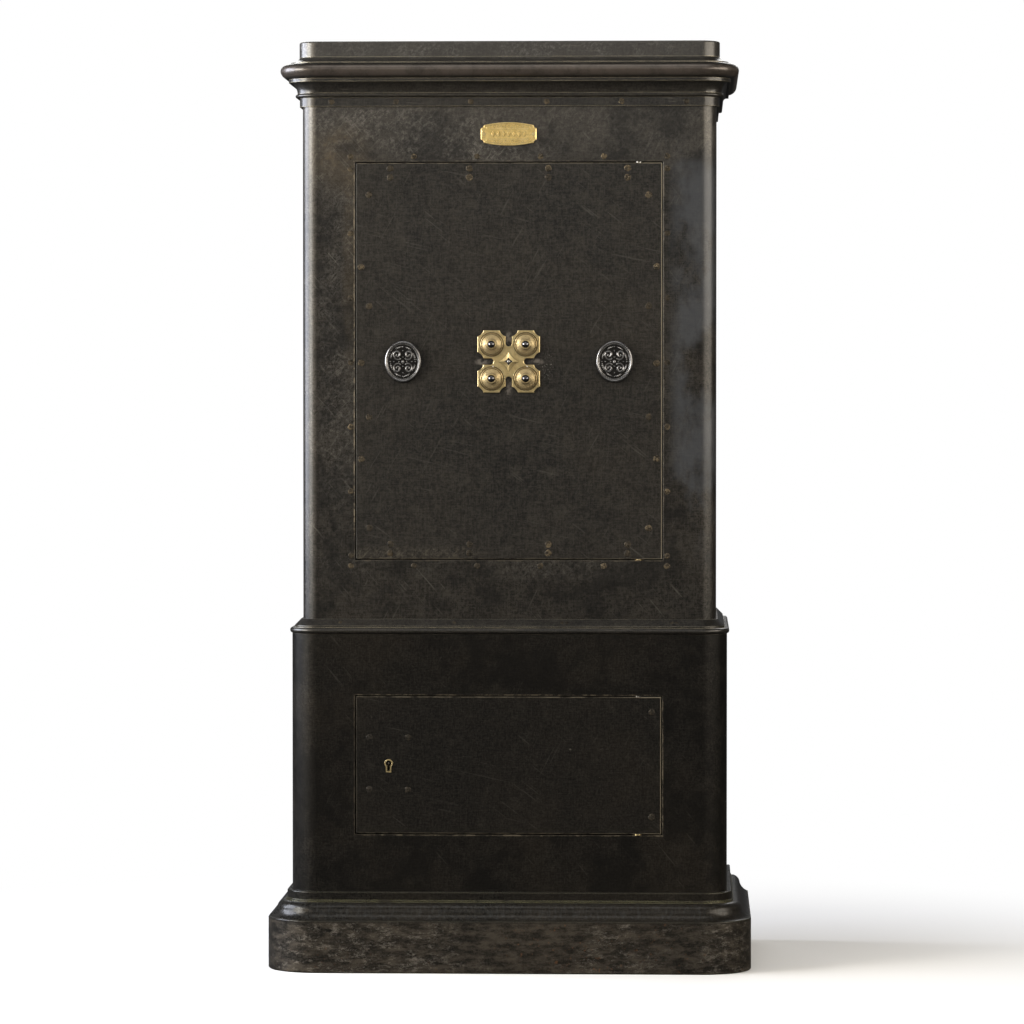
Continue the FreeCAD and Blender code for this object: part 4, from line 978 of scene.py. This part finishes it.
def bead(points, radius, front):
    """Half round moulding laid along a closed line on the front."""
    around = 8
    total = len(points)
    verts = []
    faces = []
    for i, (x, z) in enumerate(points):
        before, after = points[i - 1], points[(i + 1) % total]
        along = Vector((after[0] - before[0], after[1] - before[1])).normalized()
        for k in range(around):
            a = math.pi * 2 * k / around
            side = radius * math.cos(a)
            verts.append((x - along.y * side, front - radius * math.sin(a), z + along.x * side))
    for i in range(total):
        n = (i + 1) % total
        for k in range(around):
            m = (k + 1) % around
            faces.append((i * around + k, i * around + m, n * around + m, n * around + k))
    return verts, faces


def lozenge(x, z, wide, tall, front, rise):
    """Small raised pyramid with a flat top."""
    outer = [(x - wide, z), (x, z - tall), (x + wide, z), (x, z + tall)]
    inner = [(x + (px - x) * 0.55, z + (pz - z) * 0.7) for px, pz in outer]
    verts = [(px, front + 0.2, pz) for px, pz in outer] + [(px, front - rise, pz) for px, pz in inner]
    faces = [(k, (k + 1) % 4, 4 + (k + 1) % 4, 4 + k) for k in range(4)]
    return verts, faces + [(4, 5, 6, 7), (3, 2, 1, 0)]


plate_front = CHEST_FRONT - 2.5
ornament = [bead(plate_edge(1.0), 0.8, plate_front), bead(plate_edge(3.2), 0.35, plate_front)]
ornament += [lozenge(-27.0 + i * 9.0, PLATE_Z, 4.0, 5.6, plate_front, 1.5) for i in range(7)]
for shift in (13.0, -13.0):
    ornament += [lozenge(-24.0 + i * 6.0, PLATE_Z + shift, 2.4, 1.4, plate_front, 0.9) for i in range(9)]
verts, faces = gather(ornament)
make_piece("name_plate_relief", verts, faces, plate_look, "carcass", smooth=False)


# ------------------------------------------------------------------ floor, light and camera
def stage_floor():
    """Pale floor that fades into the pale surround; it throws little light back at the safe."""
    s = Shader("studio_floor")
    pale = s.node("BsdfDiffuse", {0: (0.86, 0.86, 0.86, 1.0)}).outputs[0]
    dull = s.node("BsdfDiffuse", {0: (0.05, 0.05, 0.05, 1.0)}).outputs[0]
    far = s.node("Emission", {0: (1.0, 1.0, 1.0, 1.0)}).outputs[0]
    reach = s.math("SQRT", s.plus(s.times(s.x, s.x), s.times(s.y, s.y)))
    seen = s.node("LightPath").outputs["Is Camera Ray"]
    near = s.node("MixShader", {0: s.ramp(reach, 0.55, 1.5), 1: pale, 2: far}).outputs[0]
    mixed = s.node("MixShader", {0: seen, 1: dull, 2: near}).outputs[0]
    s.node("OutputMaterial", {0: mixed})
    mesh = bpy.data.meshes.new("floor")
    size = 40.0
    corners = [(-size, -size, 0), (size, -size, 0), (size, size, 0), (-size, size, 0)]
    mesh.from_pydata(corners, [], [(0, 1, 2, 3)])
    mesh.materials.append(s.material)
    floor = bpy.data.objects.new("floor", mesh)
    bpy.context.scene.collection.objects.link(floor)


def softbox(name, place, target, wide, tall, power, colour):
    light = bpy.data.lights.new(name, "AREA")
    light.shape = "RECTANGLE"
    light.size = wide
    light.size_y = tall
    light.energy = power
    light.color = colour
    lamp = bpy.data.objects.new(name, light)
    lamp.location = place
    lamp.rotation_euler = (Vector(target) - Vector(place)).to_track_quat("-Z", "Y").to_euler()
    bpy.context.scene.collection.objects.link(lamp)


stage_floor()
softbox("left_window", (-3.2, 0.0, 1.75), (-0.2, 0.0, 1.7), 2.0, 2.1, 185, (0.84, 0.88, 1.0))
softbox("left_bay", (-3.2, -2.05, 1.75), (-0.2, -2.05, 1.7), 1.7, 2.1, 195, (1.0, 0.97, 0.90))
softbox("left_haze", (-3.2, -4.9, 1.75), (-0.2, -4.9, 1.7), 4.0, 2.1, 75, (1.0, 0.84, 0.64))
softbox("right_window", (3.2, -3.0, 1.8), (0.2, -3.0, 1.75), 5.2, 2.0, 195, (1.0, 0.92, 0.80))
softbox("overhead", (0.0, -1.8, 3.9), (0, 0, 1.1), 3.2, 1.6, 25, (1.0, 0.99, 0.97))
softbox("front", (0.0, -12.0, 4.6), (0, 0, 1.7), 9.0, 4.6, 130, (1.0, 0.99, 0.97))
softbox("behind", (0.0, 4.5, 3.6), (0, 0.4, 0.6), 4.0, 2.4, 110, (1.0, 0.99, 0.97))

# the surround is white to the camera and dim to every other ray
world = bpy.data.worlds.new("studio")
world.use_nodes = True
tree = world.node_tree
tree.nodes.clear()
seen = tree.nodes.new("ShaderNodeBackground")
seen.inputs[0].default_value = (1.0, 1.0, 1.0, 1.0)
lit = tree.nodes.new("ShaderNodeBackground")
lit.inputs[0].default_value = (0.055, 0.057, 0.060, 1.0)
path = tree.nodes.new("ShaderNodeLightPath")
choose = tree.nodes.new("ShaderNodeMixShader")
out = tree.nodes.new("ShaderNodeOutputWorld")
tree.links.new(path.outputs["Is Camera Ray"], choose.inputs[0])
tree.links.new(lit.outputs[0], choose.inputs[1])
tree.links.new(seen.outputs[0], choose.inputs[2])
tree.links.new(choose.outputs[0], out.inputs[0])
scene = bpy.context.scene
scene.world = world
scene.view_settings.view_transform = "Standard"

lens = bpy.data.cameras.new("camera")
lens.lens = 162.0
lens.sensor_width = 36.0
camera = bpy.data.objects.new("camera", lens)
camera.location = (0.311, -8.13, 0.985)
target = Vector((0.0055, -0.2, 0.7905))
camera.rotation_euler = (target - camera.location).to_track_quat("-Z", "Y").to_euler()
scene.collection.objects.link(camera)
scene.camera = camera
